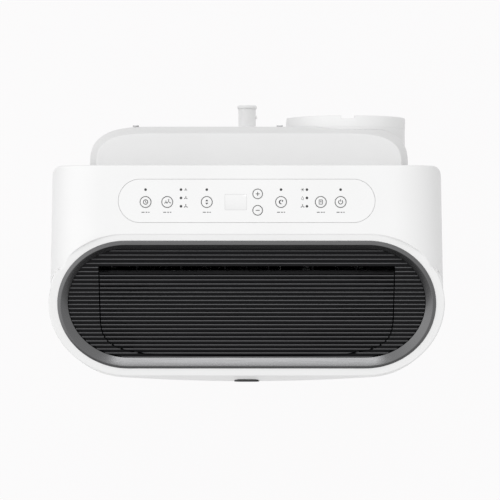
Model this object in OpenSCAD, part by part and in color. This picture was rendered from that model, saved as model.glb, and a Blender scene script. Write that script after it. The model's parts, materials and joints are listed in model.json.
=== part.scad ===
// Portable air conditioner with a tilted oval air outlet on top, a closing flap behind
// a ribbed face, a key panel, a rear exhaust collar and four swivel casters.
// Millimetres. +Z up, +X to the right, the front faces -Y. The origin is on the floor.

/* [Body] */
// Width of the casing
body_w = 450; // [410:1:500]
// Height of the casing above the floor
body_h = 700; // [660:1:780]
// Distance from the origin to the front face
front_y = 168; // [158:1:190]
// Distance from the origin to the back of the wide part of the casing
wide_y = 79.5; // [74:0.5:90]
// Narrowing of each side of the wide part towards its back
side_taper = 3; // [0:0.5:5]
// Radius of the front corners, seen from above
corner_r = 85; // [70:1:95]
// Radius that the front face bulges with
bulge_r = 2200; // [1000:10:4000]
// Radius of the long rounded edges on top
shoulder_r = 57; // [40:1:60]
// Wall thickness of the casing
wall = 3; // [2.5:0.1:3.5]
// Height of the seam between the top housing and the front shell
seam_z = 600; // [580:1:604]
// Height of the rim of the base tray
tray_rim_z = 60; // [58:1:64]

/* [Rear cover] */
// Width of the rear cover
rear_w = 366; // [350:1:372]
// Sideways offset of the rear cover
rear_x = 2.5; // [0:0.5:4]
// How far the rear cover stands out behind the wide part
rear_d = 46.7; // [42:0.1:52]
// How far the rear cover's upright corners reach along its back
rear_sweep = 76; // [50:1:90]
// Step down from the top face to the rear cover
rear_drop = 45; // [38:1:50]
// Width of the bevel round the top of the rear cover
rear_bevel = 9; // [5:1:12]
// Height of the bevel round the top of the rear cover
rear_bevel_h = 26; // [9:1:30]

/* [Air outlet] */
// Slope of the outlet face towards the front, in degrees
tilt = 22; // [18:1:26]
// Width of the flat border round the trim ring
border = 10; // [6:0.5:20]
// Height of the outlet's trim ring, measured up the slope
ring_h = 158; // [150:1:164]
// Width of the outer slope of the trim ring
ring_out = 4; // [3:0.5:5]
// Width of the inner slope of the trim ring
ring_in = 7.7; // [6:0.1:9]
// Height of the trim ring's crest above the face
ring_rise = 2.5; // [1:0.5:4]
// Depth of the ribs' crests under the face
rib_sink = 4.5; // [3:0.5:6]
// Distance between two ribs
rib_pitch = 5.05; // [4.5:0.05:6]
// Height of a rib
rib_h = 2; // [1:0.5:3]
// Thickness of the ribbed face under its ribs
face_t = 3; // [2:0.5:4]

/* [Flap] */
// Width of the ribbed face left and right of the flap
flap_side = 36.8; // [34:0.1:60]
// Width of the ribbed face above the flap's slit
flap_above = 21.8; // [20:0.1:30]
// Width of the ribbed face below the flap, to the inner edge of the ring
flap_below = 2.6; // [2:0.1:8]
// Slit along the top edge of the flap
flap_slit = 6.5; // [5:0.5:8]
// Gap round the rest of the flap
flap_gap = 1.2; // [0.8:0.1:2]
// Radius of the flap's hinge pins
pin_r = 3; // [2:0.5:4]

/* [Air vanes] */
// Number of upright vanes in the outlet
vane_n = 6; // [6:1:6]
// Distance between two vanes
vane_pitch = 50; // [44:1:52]
// Height of a vane
vane_h = 20; // [16:1:22]
// Distance from a vane's pivot to the pin that the link drives
vane_crank = 9; // [7:0.5:10]

/* [Control panel] */
// Length of the control panel
panel_w = 287.4; // [270:0.1:300]
// Height of the control panel
panel_h = 48.3; // [44:0.1:54]
// Distance of the middle of the panel in front of the back of the wide part
panel_back = 40.2; // [34:0.1:42]
// Thickness of the panel
panel_t = 2; // [1.5:0.1:2]
// Radius of a large key
key_r = 6.4; // [5:0.1:6.5]
// Radius of a small key
small_key_r = 5.7; // [5:0.1:6]
// Travel of a key
key_travel = 0.8; // [0.5:0.1:1]
// Gap round a key
key_gap = 0.3; // [0.2:0.05:0.5]

/* [Exhaust collar] */
// Outer radius of the exhaust collar
collar_r = 70; // [62:0.5:70]
// Wall thickness of the exhaust collar
collar_t = 4; // [3:0.5:5]
// Sideways place of the exhaust collar
collar_x = 116; // [112:1:118]
// Height of the collar's axis
collar_z = 570; // [560:1:574]
// How far the collar stands out behind the rear cover
collar_out = 12.5; // [10:0.5:20]

/* [Drain spigot] */
// Outer radius of the drain spigot
spigot_r = 11; // [8:0.5:12]
// Height of the bead at the spigot's end above the tube
bead = 1.5; // [1:0.1:2.5]
// Wall thickness of the spigot
spigot_t = 3; // [2:0.5:4]
// How far the spigot stands out behind the rear cover
spigot_out = 41.8; // [30:0.1:50]
// Height of the spigot's axis
spigot_z = 352; // [350:1:354]

/* [Casters] */
// Radius of a caster wheel
wheel_r = 19; // [17:0.5:19]
// Room between the wheels and the underside of the base
wheel_room = 4; // [4:1:10]
// Width of a caster wheel
wheel_w = 16; // [12:1:18]
// Distance of the wheel's axle behind the swivel axis
caster_trail = 11; // [9:1:12]
// Sideways distance of the casters from the middle
caster_x = 165; // [140:1:170]
// Place of the front casters in front of the origin
caster_front = 85; // [70:1:95]
// Place of the rear casters behind the origin
caster_rear = 72; // [60:1:76]
// Running clearance of pins, stems and shafts, on the radius
run_gap = 0.05; // [0.03:0.01:0.08]

/* [Inside] */
// Radius of the lower blower's casing
low_r = 112; // [100:1:114]
// Radius of the upper blower's casing
up_r = 100; // [90:1:102]
// Radius of the compressor
comp_r = 56; // [50:1:58]

/* [Hidden] */
$fn = 64;

fit = 0.3;                              // gap between pieces that are set into each other
half_w = body_w / 2;
base_z = 2 * wheel_r + wheel_room;      // underside of the base
rear_back = wide_y + rear_d;            // back of the rear cover
rear_top = body_h - rear_drop;          // top of the rear cover
bulge_y = -front_y + bulge_r;           // centre of the front's bulge
corner_x = half_w - corner_r;
corner_y = bulge_y - sqrt(pow(bulge_r - corner_r, 2) - pow(corner_x, 2));
bulge_a = asin(corner_x / (bulge_r - corner_r));
rim_r = 12;                             // small upright corners at the back of the wide part
ring_w = body_w - 2 * border;           // length of the trim ring
lip_r = ring_h / 2 + border;            // outer radius of the outlet face's ends
outlet_z = body_h - lip_r * sin(tilt);
outlet_y = -front_y + 7 + lip_r * cos(tilt);
chin_z = outlet_z - lip_r * sin(tilt) - 28;  // where the front wall turns upright
ring_end = ring_w / 2 - ring_h / 2;     // centre of the ring's round ends
ring_core = ring_h / 2 - ring_out - ring_in;  // inner radius of the ring
flap_w = 2 * (ring_end + ring_core - flap_side);
flap_top = ring_core - flap_above - flap_slit;
flap_low = ring_core - flap_below;
face_n = -rib_sink - rib_h - face_t;    // underside of the ribbed face, along the outlet's axis
hinge_v = flap_top - 8;                 // hinge, up the slope
hinge_n = face_n - 6;                   // hinge, along the outlet's axis
duct_w = flap_w + 4;                    // inner width of the outlet duct
duct_t = 3;
duct_hi = flap_top + flap_slit;         // inner upper side of the duct, up the slope
duct_lo = -flap_low + 7;                // inner lower side of the duct
duct_top = face_n - 1.5;                // rim of the duct, along the outlet's axis
duct_low = -50;                         // foot of the duct's mouth
vane_axis = -34;                        // the vanes' pivots, along the outlet's axis
panel_y = wide_y - panel_back;
panel_z = body_h - panel_t;             // underside of the panel
board_z = body_h - 18;                  // underside of the circuit board
board_t = 1.6;
spigot_tip = rear_back + spigot_out;
bead_r = spigot_r + bead;

// Keys: [name, place along the panel, place up the panel, radius]
keys = [["timer_key", -113.3, -1.3, key_r], ["speed_key", -89, -1.3, key_r],
    ["swing_key", -44.7, -1.3, key_r], ["plus_key", 12.3, 7.8, small_key_r],
    ["minus_key", 12.3, -10.6, small_key_r], ["sleep_key", 38.5, -1.3, key_r],
    ["mode_key", 83, -1.3, key_r], ["power_key", 105.2, -1.3, key_r]];
// Indicator lights: [place along the panel, place up the panel]
lights = [[-113.3, 12.6], [-44.7, 12.6], [38.5, 12.6], [105.2, 12.6],
    [-73.6, 12.6], [-73.6, 3.3], [-73.6, -6.1], [67.5, 12.6], [67.5, 3.3], [67.5, -6.1]];
light_r = 1.5;
display_x = -12.3;
display_w = 24.4;
display_h = 17.5;

receiver_w = 29;
receiver_h = 14;
receiver_z = chin_z + 7;

grip_w = 110;
grip_h = 36;
grip_d = 24;
grip_y = 0;
grip_z = 540;

up_win = [-132, 34, 375, 615];          // upper intake: low x, high x, low z, high z
low_win = [-132, 137, 95, 325];         // lower intake
slat_pitch = 9;
slat_h = 3;

riser_x0 = collar_x - collar_r - 2;     // exhaust riser
riser_x1 = collar_x + collar_r + 4;
case_t = 2;                             // wall of the blowers' casings
low_x = riser_x1 - low_r;               // lower blower's axis
low_z = base_z + 36 + low_r;
low_y0 = -2;
low_y1 = wide_y - 5.5;
up_x = -60;                             // upper blower's axis
up_z = 475;
up_y0 = on_face(duct_lo, duct_low)[0] - case_t;
up_y1 = -20;
shaft_r = 4;
comp_x = -120;
comp_y = -60;
comp_top = 285;
comp_foot = tray_rim_z + 2.5;           // underside of the compressor, above its rubber feet
stem_r = 5;
axle_r = 3;

// Points on an arc, leaving out the first one when from is 1
function arc(cx, cy, r, a0, a1, n, from = 0) =
    [for (i = [from:n]) let (a = a0 + (a1 - a0) * i / n) [cx + r * cos(a), cy + r * sin(a)]];

// Outline of the wide part seen from above, moved inwards by d
function plan_points(d) = concat(
    arc(0, bulge_y, bulge_r - d, 270 - bulge_a, 270 + bulge_a, 10),
    arc(corner_x, corner_y, corner_r - d, 270 + bulge_a, 360, 16, 1),
    arc(half_w - side_taper - rim_r, wide_y - rim_r, rim_r - d, 0, 90, 6),
    arc(side_taper + rim_r - half_w, wide_y - rim_r, rim_r - d, 90, 180, 6),
    arc(-corner_x, corner_y, corner_r - d, 180, 270 - bulge_a - (90 - bulge_a) / 16, 15));

// A quarter of a superellipse of the given power, from its side to its end
function sweep(cx, cy, a, b, power, a0, a1, n) =
    [for (i = [0:n]) let (t = a0 + (a1 - a0) * i / n)
        [cx + a * sign(cos(t)) * pow(abs(cos(t)), 2 / power),
         cy + b * sign(sin(t)) * pow(abs(sin(t)), 2 / power)]];

// Power of the superellipse of the rear cover's corners
rear_power = 3;

// Outline of the rear cover seen from above, from y0 backwards, moved inwards by d
function rear_points(d, y0) =
    let (side = rear_w / 2 - rear_sweep, a = rear_sweep - d, b = rear_back - d - y0)
    concat(sweep(rear_x + side, y0, a, b, rear_power, 0, 90, 14),
        sweep(rear_x - side, y0, a, b, rear_power, 90, 180, 14));

// Front view of the top, with its long round edges, moved inwards by d
function top_points(d, z0) = concat(
    [[-half_w + d, z0], [half_w - d, z0]],
    arc(half_w - shoulder_r, body_h - shoulder_r, shoulder_r - d, 0, 90, 10),
    arc(shoulder_r - half_w, body_h - shoulder_r, shoulder_r - d, 90, 180, 10));

// A point of the outlet face's plane, n above it and v up its slope, as [y, z]
function on_face(v, n) =
    [outlet_y + v * cos(tilt) - n * sin(tilt), outlet_z + v * sin(tilt) + n * cos(tilt)];

// Outline of the flap, grown by d at its sides and bottom and by up at its top edge:
// upright sides, and a rounded lower edge that follows a superellipse
flap_power = 4.7;
flap_steps = 28;
function flap_points(d, up) = concat(
    [[flap_w / 2 + d, flap_top + up], [-flap_w / 2 - d, flap_top + up]],
    sweep(0, 0, flap_w / 2 + d, flap_low + d, flap_power, 180, 360, flap_steps));

// Moves its children to the outlet's middle: x across, y up the slope, z out of the face
module at_outlet() {
    translate([0, outlet_y, outlet_z]) rotate([tilt, 0, 0]) children();
}

// Long hole shape with round ends: half length to the ends' centres, radius and height
module stadium(half, r, z0, h) {
    translate([0, 0, z0]) linear_extrude(h) union() {
        translate([-half, -r]) square([2 * half, 2 * r]);
        translate([-half, 0]) circle(r);
        translate([half, 0]) circle(r);
    }
}

// Plate lying along y and z, drawn as points [y, z], from x0 to x1
module along_x(points, x0, x1) {
    translate([x0, 0, 0]) rotate([90, 0, 90]) linear_extrude(x1 - x0) polygon(points);
}

// Plate lying along x and z, drawn as points [x, z], from y0 to y1
module along_y(points, y0, y1) {
    translate([0, y1, 0]) rotate([90, 0, 0]) linear_extrude(y1 - y0) polygon(points);
}

module rod_y(x, z, r, y0, y1) {
    translate([x, y1, z]) rotate([90, 0, 0]) cylinder(r = r, h = y1 - y0);
}

module rod_x(y, z, r, x0, x1) {
    translate([x0, y, z]) rotate([0, 90, 0]) cylinder(r = r, h = x1 - x0);
}

// Upright block between two corners
module block(x0, x1, y0, y1, z0, z1) {
    translate([x0, y0, z0]) cube([x1 - x0, y1 - y0, z1 - z0]);
}

// Solid form of the top housing, moved inwards by d, from z0 up: a long round-edged top
// that is cleared away above the outlet's face, and a snout below that face
module housing_form(d, z0) {
    brow = on_face(-lip_r + d, -d);
    intersection() {
        translate([0, 0, z0]) linear_extrude(body_h - z0) polygon(plan_points(d));
        along_x([[wide_y - d, z0], [wide_y - d, body_h - d], [brow[0], body_h - d], brow,
            [-front_y + d, chin_z - d / 2], [-front_y + d, z0]], -half_w, half_w);
        union() {
            difference() {
                along_y(top_points(d, z0), -front_y, wide_y);
                at_outlet() {
                    stadium(half_w - lip_r, lip_r + d, -d, 120);
                    translate([-half_w - 10, -200, -d]) cube([body_w + 20, 200, 200]);
                }
            }
            at_outlet() stadium(half_w - lip_r, lip_r - d, -60, 60 - d);
        }
    }
}

module top_housing() {
    color("white") difference() {
        housing_form(0, seam_z + fit);
        housing_form(wall, seam_z);
        at_outlet() stadium(ring_end, ring_h / 2 - 3, -70, 75);
        translate([0, panel_y, 0]) {
            stadium((panel_w - panel_h) / 2, panel_h / 2 + fit, panel_z, 10);
            stadium((panel_w - panel_h) / 2, panel_h / 2 - 3, panel_z - 10, 20);
        }
        block(rear_x - rear_w / 2 + wall, rear_x + rear_w / 2 - wall, wide_y - wall - 1, wide_y + 1,
            seam_z, rear_top - wall);
        collar_bore();
        receiver_form(fit);
    }
}

// Small window in the chin, grown by d
module receiver_form(d) {
    translate([0, -front_y - 2, receiver_z]) rotate([-90, 0, 0])
        stadium((receiver_w - receiver_h) / 2, receiver_h / 2 + d, 0, 14 + d);
}

module receiver_lens() {
    color("black") intersection() {
        receiver_form(0);
        union() {
            housing_form(-0.4, seam_z);
            block(-20, 20, -front_y, -front_y + 12, seam_z, chin_z + 20);
        }
    }
}

// Lower body: the wide outline's wall with strips at the back that meet the rear cover
module front_shell() {
    color("white") difference() {
        translate([0, 0, tray_rim_z + fit]) linear_extrude(seam_z - tray_rim_z - fit) difference() {
            polygon(plan_points(0));
            polygon(plan_points(wall));
            translate([rear_x - rear_w / 2 + wall, wide_y - 20]) square([rear_w - 2 * wall, 30]);
        }
        collar_bore();
        for (s = [-1, 1]) grip_form(s * half_w - 15, s * half_w + 15, fit);
    }
}

module collar_bore() {
    rod_y(collar_x, collar_z, collar_r + fit, wide_y - 20, rear_back + 20);
}

// Solid form of the rear cover with its bevelled top edge, moved inwards by d
module rear_solid(d) {
    y0 = d > 0 ? wide_y - 1 : wide_y + fit;
    z0 = d > 0 ? tray_rim_z - 1 : tray_rim_z + fit;
    bevel_z = rear_top - d - rear_bevel_h;
    translate([0, 0, z0]) linear_extrude(bevel_z - z0) polygon(rear_points(d, y0));
    hull() {
        translate([0, 0, bevel_z]) linear_extrude(0.01) polygon(rear_points(d, y0));
        translate([0, 0, rear_top - d - 0.01]) linear_extrude(0.01) polygon(rear_points(d + rear_bevel, y0));
    }
}

screw_places = [[-128, 80], [133, 80], [-128, 350], [133, 350], [-128, 622], [38, 622]];

module rear_cover() {
    color("white") difference() {
        rear_solid(0);
        rear_solid(wall);
        collar_bore();
        rod_y(0, spigot_z, spigot_r + fit, wide_y, rear_back + 5);
        block(up_win[0], up_win[1], rear_back - 10, rear_back + 5, up_win[2], up_win[3]);
        block(low_win[0], low_win[1], rear_back - 10, rear_back + 5, low_win[2], low_win[3]);
        for (p = screw_places) rod_y(p[0], p[1], 1.8, rear_back - 10, rear_back + 5);
        gland_bore(fit);
    }
}

// Grille set into a window: frame, level slats and two upright ribs
module grille(win) {
    x0 = win[0] + fit;
    x1 = win[1] - fit;
    z0 = win[2] + fit;
    z1 = win[3] - fit;
    rim = 7;
    y0 = rear_back - wall;
    slats = floor((z1 - z0 - 2 * rim) / slat_pitch);
    first = (z1 - z0 - slats * slat_pitch + slat_pitch - slat_h) / 2;
    difference() {
        block(x0, x1, y0, rear_back, z0, z1);
        block(x0 + rim, x1 - rim, y0 - 1, rear_back + 1, z0 + rim, z1 - rim);
    }
    for (i = [0:slats - 1])
        block(x0 + rim, x1 - rim, y0 + 0.5, rear_back - 0.5, z0 + first + i * slat_pitch,
            z0 + first + i * slat_pitch + slat_h);
    for (k = [1, 2]) let (x = x0 + (x1 - x0) * k / 3)
        block(x - 1.5, x + 1.5, y0 + 0.5, rear_back - 1, z0 + rim, z1 - rim);
}

module upper_grille() { color("whitesmoke") grille(up_win); }
module lower_grille() { color("whitesmoke") grille(low_win); }

module upper_filter() {
    color("dimgray") block(up_win[0] + 3, up_win[1] - 3, rear_back - wall - 3.5, rear_back - wall - 0.2,
        up_win[2] + 3, up_win[3] - 3);
}

module cover_screws() {
    color("silver") for (p = screw_places) {
        rod_y(p[0], p[1], 1.6, rear_back - 12, rear_back + 0.2);
        rod_y(p[0], p[1], 3.6, rear_back + 0.05, rear_back + 1.8);
    }
}

// Base tray with bosses for the casters' stems
module base_tray() {
    inset = 2;
    color("white") difference() {
        union() {
            difference() {
                translate([0, 0, base_z]) linear_extrude(tray_rim_z - base_z) union() {
                    polygon(plan_points(inset));
                    polygon(rear_points(inset, wide_y - 10));
                }
                translate([0, 0, base_z + wall]) linear_extrude(30) union() {
                    polygon(plan_points(inset + wall));
                    polygon(rear_points(inset + wall, wide_y - 10));
                }
            }
            at_casters() translate([0, 0, base_z]) cylinder(r = stem_r + 5, h = tray_rim_z - base_z);
        }
        at_casters() translate([0, 0, base_z - 1]) cylinder(r = stem_r + run_gap, h = 30);
    }
}

caster_places = [["front_left", -1, -caster_front], ["front_right", 1, -caster_front],
    ["rear_left", -1, caster_rear], ["rear_right", 1, caster_rear]];

module at_casters() {
    for (p = caster_places) translate([p[1] * caster_x, p[2], 0]) children();
}

// Swivel fork: stem, crown, two cheeks and the riveted axle
module fork(p) {
    crown = base_z - 0.5;
    cheek = [[-14, crown], [-14, crown - 6], [caster_trail - 5, wheel_r - 5], [caster_trail + 5, wheel_r - 5],
        [caster_trail + 7, crown]];
    color("dimgray") translate([p[1] * caster_x, p[2], 0]) {
        cylinder_from(stem_r, crown - 1, tray_rim_z - 1);
        difference() {
            union() {
                for (s = [-1, 1]) along_x(cheek, s * (wheel_w / 2 + 2) - 1.5, s * (wheel_w / 2 + 2) + 1.5);
                block(-wheel_w / 2 - 3, wheel_w / 2 + 3, -14, caster_trail + 7, crown - 3, crown);
            }
            rod_x(caster_trail, wheel_r, wheel_r + 0.6, -wheel_w / 2 - 0.5, wheel_w / 2 + 0.5);
        }
        rod_x(caster_trail, wheel_r, axle_r, -wheel_w / 2 - 4, wheel_w / 2 + 4);
    }
}

module cylinder_from(r, z0, z1) {
    translate([0, 0, z0]) cylinder(r = r, h = z1 - z0);
}

// Caster wheel: rounded tread, recessed sides and a bore that runs on the axle
module wheel(p) {
    half = wheel_w / 2;
    color("black") translate([p[1] * caster_x, p[2] + caster_trail, wheel_r]) rotate([0, 90, 0])
        rotate_extrude() polygon([[axle_r + run_gap, -half], [7, -half], [8, -half + 2],
            [wheel_r - 5, -half + 2], [wheel_r - 4, -half], [wheel_r - 2, -half],
            [wheel_r, -half + 2], [wheel_r, half - 2],
            [wheel_r - 2, half], [wheel_r - 4, half], [wheel_r - 5, half - 2], [8, half - 2], [7, half],
            [axle_r + run_gap, half]]);
}

// Trim ring: a roof-shaped section carried round the outlet, with a neck in the opening
module vent_ring() {
    r = ring_h / 2;
    section = [[r, 0], [r - ring_out, ring_rise], [ring_core, -rib_sink], [ring_core, -rib_sink - 4],
        [r - 3 - fit, -rib_sink - 4], [r - 3 - fit, 0]];
    color("silver") at_outlet() union() {
        for (s = [-1, 1]) {
            translate([s * ring_end, 0, 0]) rotate([0, 0, -90 * s])
                rotate_extrude(angle = 180) polygon(section);
            mirror([0, s < 0 ? 1 : 0, 0]) along_x(section, -ring_end, ring_end);
        }
    }
}

// Ribbed sheet across the whole outlet, as one long profile: flat valleys and narrow crests
rib_count = ceil(ring_h / rib_pitch / 2);
function rib_profile() = concat(
    [[rib_count * rib_pitch, face_n], [-rib_count * rib_pitch, face_n]],
    [for (i = [-rib_count:rib_count - 1]) each [
        [i * rib_pitch, -rib_sink - rib_h], [i * rib_pitch + 1.2, -rib_sink - rib_h],
        [i * rib_pitch + 2.5, -rib_sink], [i * rib_pitch + 3.7, -rib_sink]]],
    [[rib_count * rib_pitch, -rib_sink - rib_h]]);

module vent_surround() {
    color([0.07, 0.07, 0.075]) at_outlet() difference() {
        intersection() {
            along_x(rib_profile(), -ring_w / 2, ring_w / 2);
            stadium(ring_end, ring_core - fit, -30, 30);
        }
        translate([0, 0, -30]) linear_extrude(40) polygon(flap_points(flap_gap, flap_slit));
    }
}

// Flap: the ribbed sheet inside its outline, with two ears and hinge pins
module flap() {
    ear = flap_w / 2 - 4;
    color([0.07, 0.07, 0.075]) at_outlet() {
        union() {
            intersection() {
                along_x(rib_profile(), -flap_w / 2, flap_w / 2);
                translate([0, 0, -30]) linear_extrude(40) polygon(flap_points(0, 0));
            }
            for (s = [-1, 1]) {
                along_x([[hinge_v - 5, face_n + 1], [hinge_v - 5, hinge_n - 2], [hinge_v - 2, hinge_n - 5],
                    [hinge_v + 2, hinge_n - 5], [hinge_v + 5, hinge_n - 2], [hinge_v + 5, face_n + 1]],
                    s * ear - 2, s * ear + 2);
                rod_x(hinge_v, hinge_n, pin_r, s > 0 ? ear : -ear - 11, s > 0 ? ear + 11 : -ear);
            }
        }
    }
}

// Outlet duct: tilted mouth with bearings for the flap and the vanes, above a hood that
// gathers the air from the upper blower
module outlet_duct() {
    x = duct_w / 2 + duct_t;
    color("gainsboro") difference() {
        duct_form(duct_t, 0);
        duct_form(0, 1);
        at_outlet() {
            rod_x(hinge_v, hinge_n, pin_r + run_gap, -x - 1, x + 1);
            for (i = [0:vane_n - 1]) rod_y(vane_x(i), vane_axis, vane_pin_r + run_gap,
                duct_lo - duct_t - 1, duct_hi + duct_t + 1);
        }
    }
}

duct_foot_z = up_z + up_r + 14;

// Solid form of the duct, grown by d and longer by more at both ends. Its side view
// narrows to the blower's depth and its front view to the blower's width.
module duct_form(d, more) {
    foot = duct_foot_z - more;
    low = duct_lo - d;
    high = duct_hi + d;
    x = duct_w / 2 + d;
    bend_z = on_face(duct_lo, duct_low)[1];
    intersection() {
        along_x([[up_y0 + case_t - d, foot], [up_y1 - case_t + d, foot], on_face(high, duct_low),
            on_face(high, duct_top + more), on_face(low, duct_top + more), on_face(low, duct_low)], -x, x);
        along_y([[up_x - up_r + case_t - d, foot], [up_x + up_r - case_t + d, foot], [x, bend_z],
            [x, body_h], [-x, body_h], [-x, bend_z]], -front_y, wide_y);
    }
}

vane_pin_r = 1.5;
function vane_x(i) = (i - (vane_n - 1) / 2) * vane_pitch;

// Upright vane: a blade on two end pins, with a pin for the link at its lower corner
module vane(i) {
    top = vane_axis + vane_h / 2 - 1;
    low = vane_axis - vane_h / 2 - 1;
    color("dimgray") at_outlet() translate([vane_x(i), 0, 0]) {
        along_x([[duct_lo + 1, top], [duct_hi - 1, top], [duct_hi - 1, vane_axis - 3],
            [duct_hi - 9, vane_axis - 3], [duct_hi - 9, low], [duct_lo + 1, low]], -0.9, 0.9);
        rod_y(0, vane_axis, vane_pin_r, duct_lo - 2.5, duct_lo + 2);
        rod_y(0, vane_axis, vane_pin_r, duct_hi - 2, duct_hi + 2.5);
        rod_y(0, vane_axis - vane_crank, 1.2, duct_hi - 10, duct_hi - 2);
    }
}

// Link: a bar across all vanes with an upright slot round each vane's pin
module vane_link() {
    color("dimgray") at_outlet() difference() {
        translate([vane_x(0) - 7, duct_hi - 6, vane_axis - vane_crank - 3.5])
            cube([vane_x(vane_n - 1) - vane_x(0) + 14, 2.5, 8]);
        for (i = [0:vane_n - 1]) translate([vane_x(i) - 1.5, duct_hi - 7, vane_axis - vane_crank - 1.6])
            cube([3, 5, 4.6]);
    }
}

// Geared motor beside the duct: its body hangs off the axis of the flap's pin
module flap_motor() {
    x = duct_w / 2 + duct_t;
    color("silver") at_outlet() difference() {
        union() {
            rod_x(hinge_v - 6, hinge_n - 12, 12, x + 0.2, x + 19);
            rod_x(hinge_v, hinge_n, pin_r + 1.4, x + 0.2, x + 9);
        }
        rod_x(hinge_v, hinge_n, pin_r + run_gap, x - 1, x + 7);
    }
}

// Panel plate with openings for the keys, the lights and the display, and four posts
// that carry the circuit board
module control_panel() {
    color("white") translate([0, panel_y, 0]) difference() {
        union() {
            stadium((panel_w - panel_h) / 2, panel_h / 2, panel_z, panel_t);
            for (x = [-1, 1], y = [-1, 1]) translate([x * (panel_w / 2 - 16), y * 13, 0])
                cylinder_from(2.5, board_z + board_t, panel_z + 0.5);
        }
        for (k = keys) translate([k[1], k[2], 0]) cylinder_from(k[3] + key_gap, panel_z - 1, body_h + 1);
        for (l = lights) translate([l[0], l[1], 0]) cylinder_from(light_r, panel_z - 1, body_h + 1);
        translate([display_x, -1.4, body_h])
            cube([display_w, display_h, 10], center = true);
    }
}

module display_window() {
    color("gainsboro") translate([display_x, panel_y - 1.4, body_h - panel_t / 2])
        cube([display_w - 0.2, display_h - 0.2, panel_t], center = true);
}

// Key: cap in the panel, retaining flange below it and a stem to its switch
module key(name) {
    for (k = keys) if (k[0] == name) color("whitesmoke") translate([k[1], panel_y + k[2], 0]) {
        cylinder_from(k[3], panel_z - 2, body_h);
        cylinder_from(k[3] + 1.2, panel_z - 2, panel_z - 0.4);
        cylinder_from(2, board_z + board_t + 2 + key_travel, panel_z - 1);
    }
}

module indicator_lights() {
    color("dimgray") for (l = lights) translate([l[0], panel_y + l[1], 0])
        cylinder_from(light_r - 0.05, panel_z - 2, body_h);
}

// Circuit board with a small switch under each key
module control_board() {
    color("darkgreen") union() {
        block(-panel_w / 2 + 12, panel_w / 2 - 12, panel_y - 18, panel_y + 18, board_z, board_z + board_t);
        for (k = keys) translate([k[1], panel_y + k[2], 0])
            translate([-3, -3, board_z + board_t - 0.5]) cube([6, 6, 2]);
    }
}

// Collar for the exhaust hose, a little slimmer inside the casing, with four notches in
// its rim for the hose's lugs
module exhaust_collar() {
    rim = rear_back + collar_out;
    color("whitesmoke") difference() {
        union() {
            rod_y(collar_x, collar_z, collar_r - fit, low_y1, rear_back + 1);
            rod_y(collar_x, collar_z, collar_r, rear_back, rim);
        }
        rod_y(collar_x, collar_z, collar_r - collar_t, low_y1 - 1, rim + 1);
        for (a = [0:90:270]) translate([collar_x, 0, collar_z]) rotate([0, a, 0])
            translate([-8, rim - 3.5, collar_r - collar_t - 2]) cube([16, 5, collar_t + 6]);
    }
}

// Spigot for the drain hose: tube with an end bead, a small lug and a flange in the cover
module drain_spigot() {
    color("whitesmoke") difference() {
        union() {
            rod_y(0, spigot_z, spigot_r - fit, wide_y - 5, rear_back + 1);
            rod_y(0, spigot_z, spigot_r, rear_back, spigot_tip);
            translate([0, spigot_tip - 2.5, spigot_z]) rotate([90, 0, 0]) rotate_extrude()
                polygon([[spigot_r - 1, -2.5], [bead_r - 1, -2.5], [bead_r, -1], [bead_r, 1],
                    [bead_r - 1, 2.5], [spigot_r - 1, 2.5]]);
            rod_y(0, spigot_z, spigot_r + 4, rear_back - wall - 2.3, rear_back - wall - 0.3);
            block(spigot_r - 1, spigot_r + 1.6, spigot_tip - 17, spigot_tip - 13, spigot_z - 2, spigot_z + 2);
        }
        rod_y(0, spigot_z, spigot_r - spigot_t, wide_y - 6, spigot_tip + 1);
    }
}

// Plug that closes the spigot, with a narrow end to pull it by
module drain_plug() {
    r = spigot_r - spigot_t - run_gap;
    color("dimgray") union() {
        rod_y(0, spigot_z, r, spigot_tip - 16, spigot_tip - 3);
        rod_y(0, spigot_z, r - 4, spigot_tip - 4, spigot_tip - 0.5);
    }
}

gland_x = -96;
gland_z = 70.5;
module gland_bore(d) {
    rod_y(gland_x, gland_z, 7 + d, rear_back - 12, rear_back + 12);
}

// Gland of the mains lead, with its hole open
module cord_gland() {
    color("dimgray") difference() {
        union() {
            rod_y(gland_x, gland_z, 7, rear_back - 8, rear_back + 3);
            rod_y(gland_x, gland_z, 9.5, rear_back + 0.1, rear_back + 3);
        }
        rod_y(gland_x, gland_z, 4, rear_back - 9, rear_back + 4);
    }
}

// Long block with rounded ends that lies along y in a side wall, grown by d
module grip_form(x0, x1, d) {
    translate([x0, grip_y, grip_z]) rotate([90, 0, 90])
        stadium((grip_w - grip_h) / 2, grip_h / 2 + d, 0, x1 - x0);
}

// Grip: a cup let into the side wall, with a flange behind the wall
module grip(s) {
    x = half_w - side_taper / 2;
    color("white") mirror([s < 0 ? 1 : 0, 0, 0]) difference() {
        union() {
            grip_form(x - grip_d, x + 0.2, 0);
            grip_form(x - wall - 4, x - wall - 2, 6);
        }
        grip_form(x - grip_d + 2, x + 5, -2.5);
    }
}

module left_grip() { grip(-1); }
module right_grip() { grip(1); }

// Rotary compressor with its suction bottle and foot plate
module compressor() {
    top = comp_top;
    foot = comp_foot;
    color([0.12, 0.12, 0.13]) union() {
        translate([comp_x, comp_y, 0]) {
            rotate_extrude() polygon([[0, foot], [comp_r - 10, foot], [comp_r, foot + 12], [comp_r, top - 25],
                [comp_r - 12, top - 8], [comp_r - 34, top], [0, top]]);
            cylinder_from(9, top - 2, top + 10);
        }
        translate([comp_x, comp_y - comp_r - 22, 0]) rotate_extrude()
            polygon([[0, 110], [14, 114], [20, 125], [20, 225], [14, 238], [0, 242]]);
        block(comp_x - 8, comp_x + 8, comp_y - comp_r - 10, comp_y - comp_r + 6, 150, 162);
        difference() {
            block(comp_x - comp_r - 6, comp_x + comp_r + 6, comp_y - 60, comp_y + 60, foot - 1.5, foot + 2);
            at_feet() cylinder_from(5.2, 0, 80);
        }
    }
}

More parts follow.
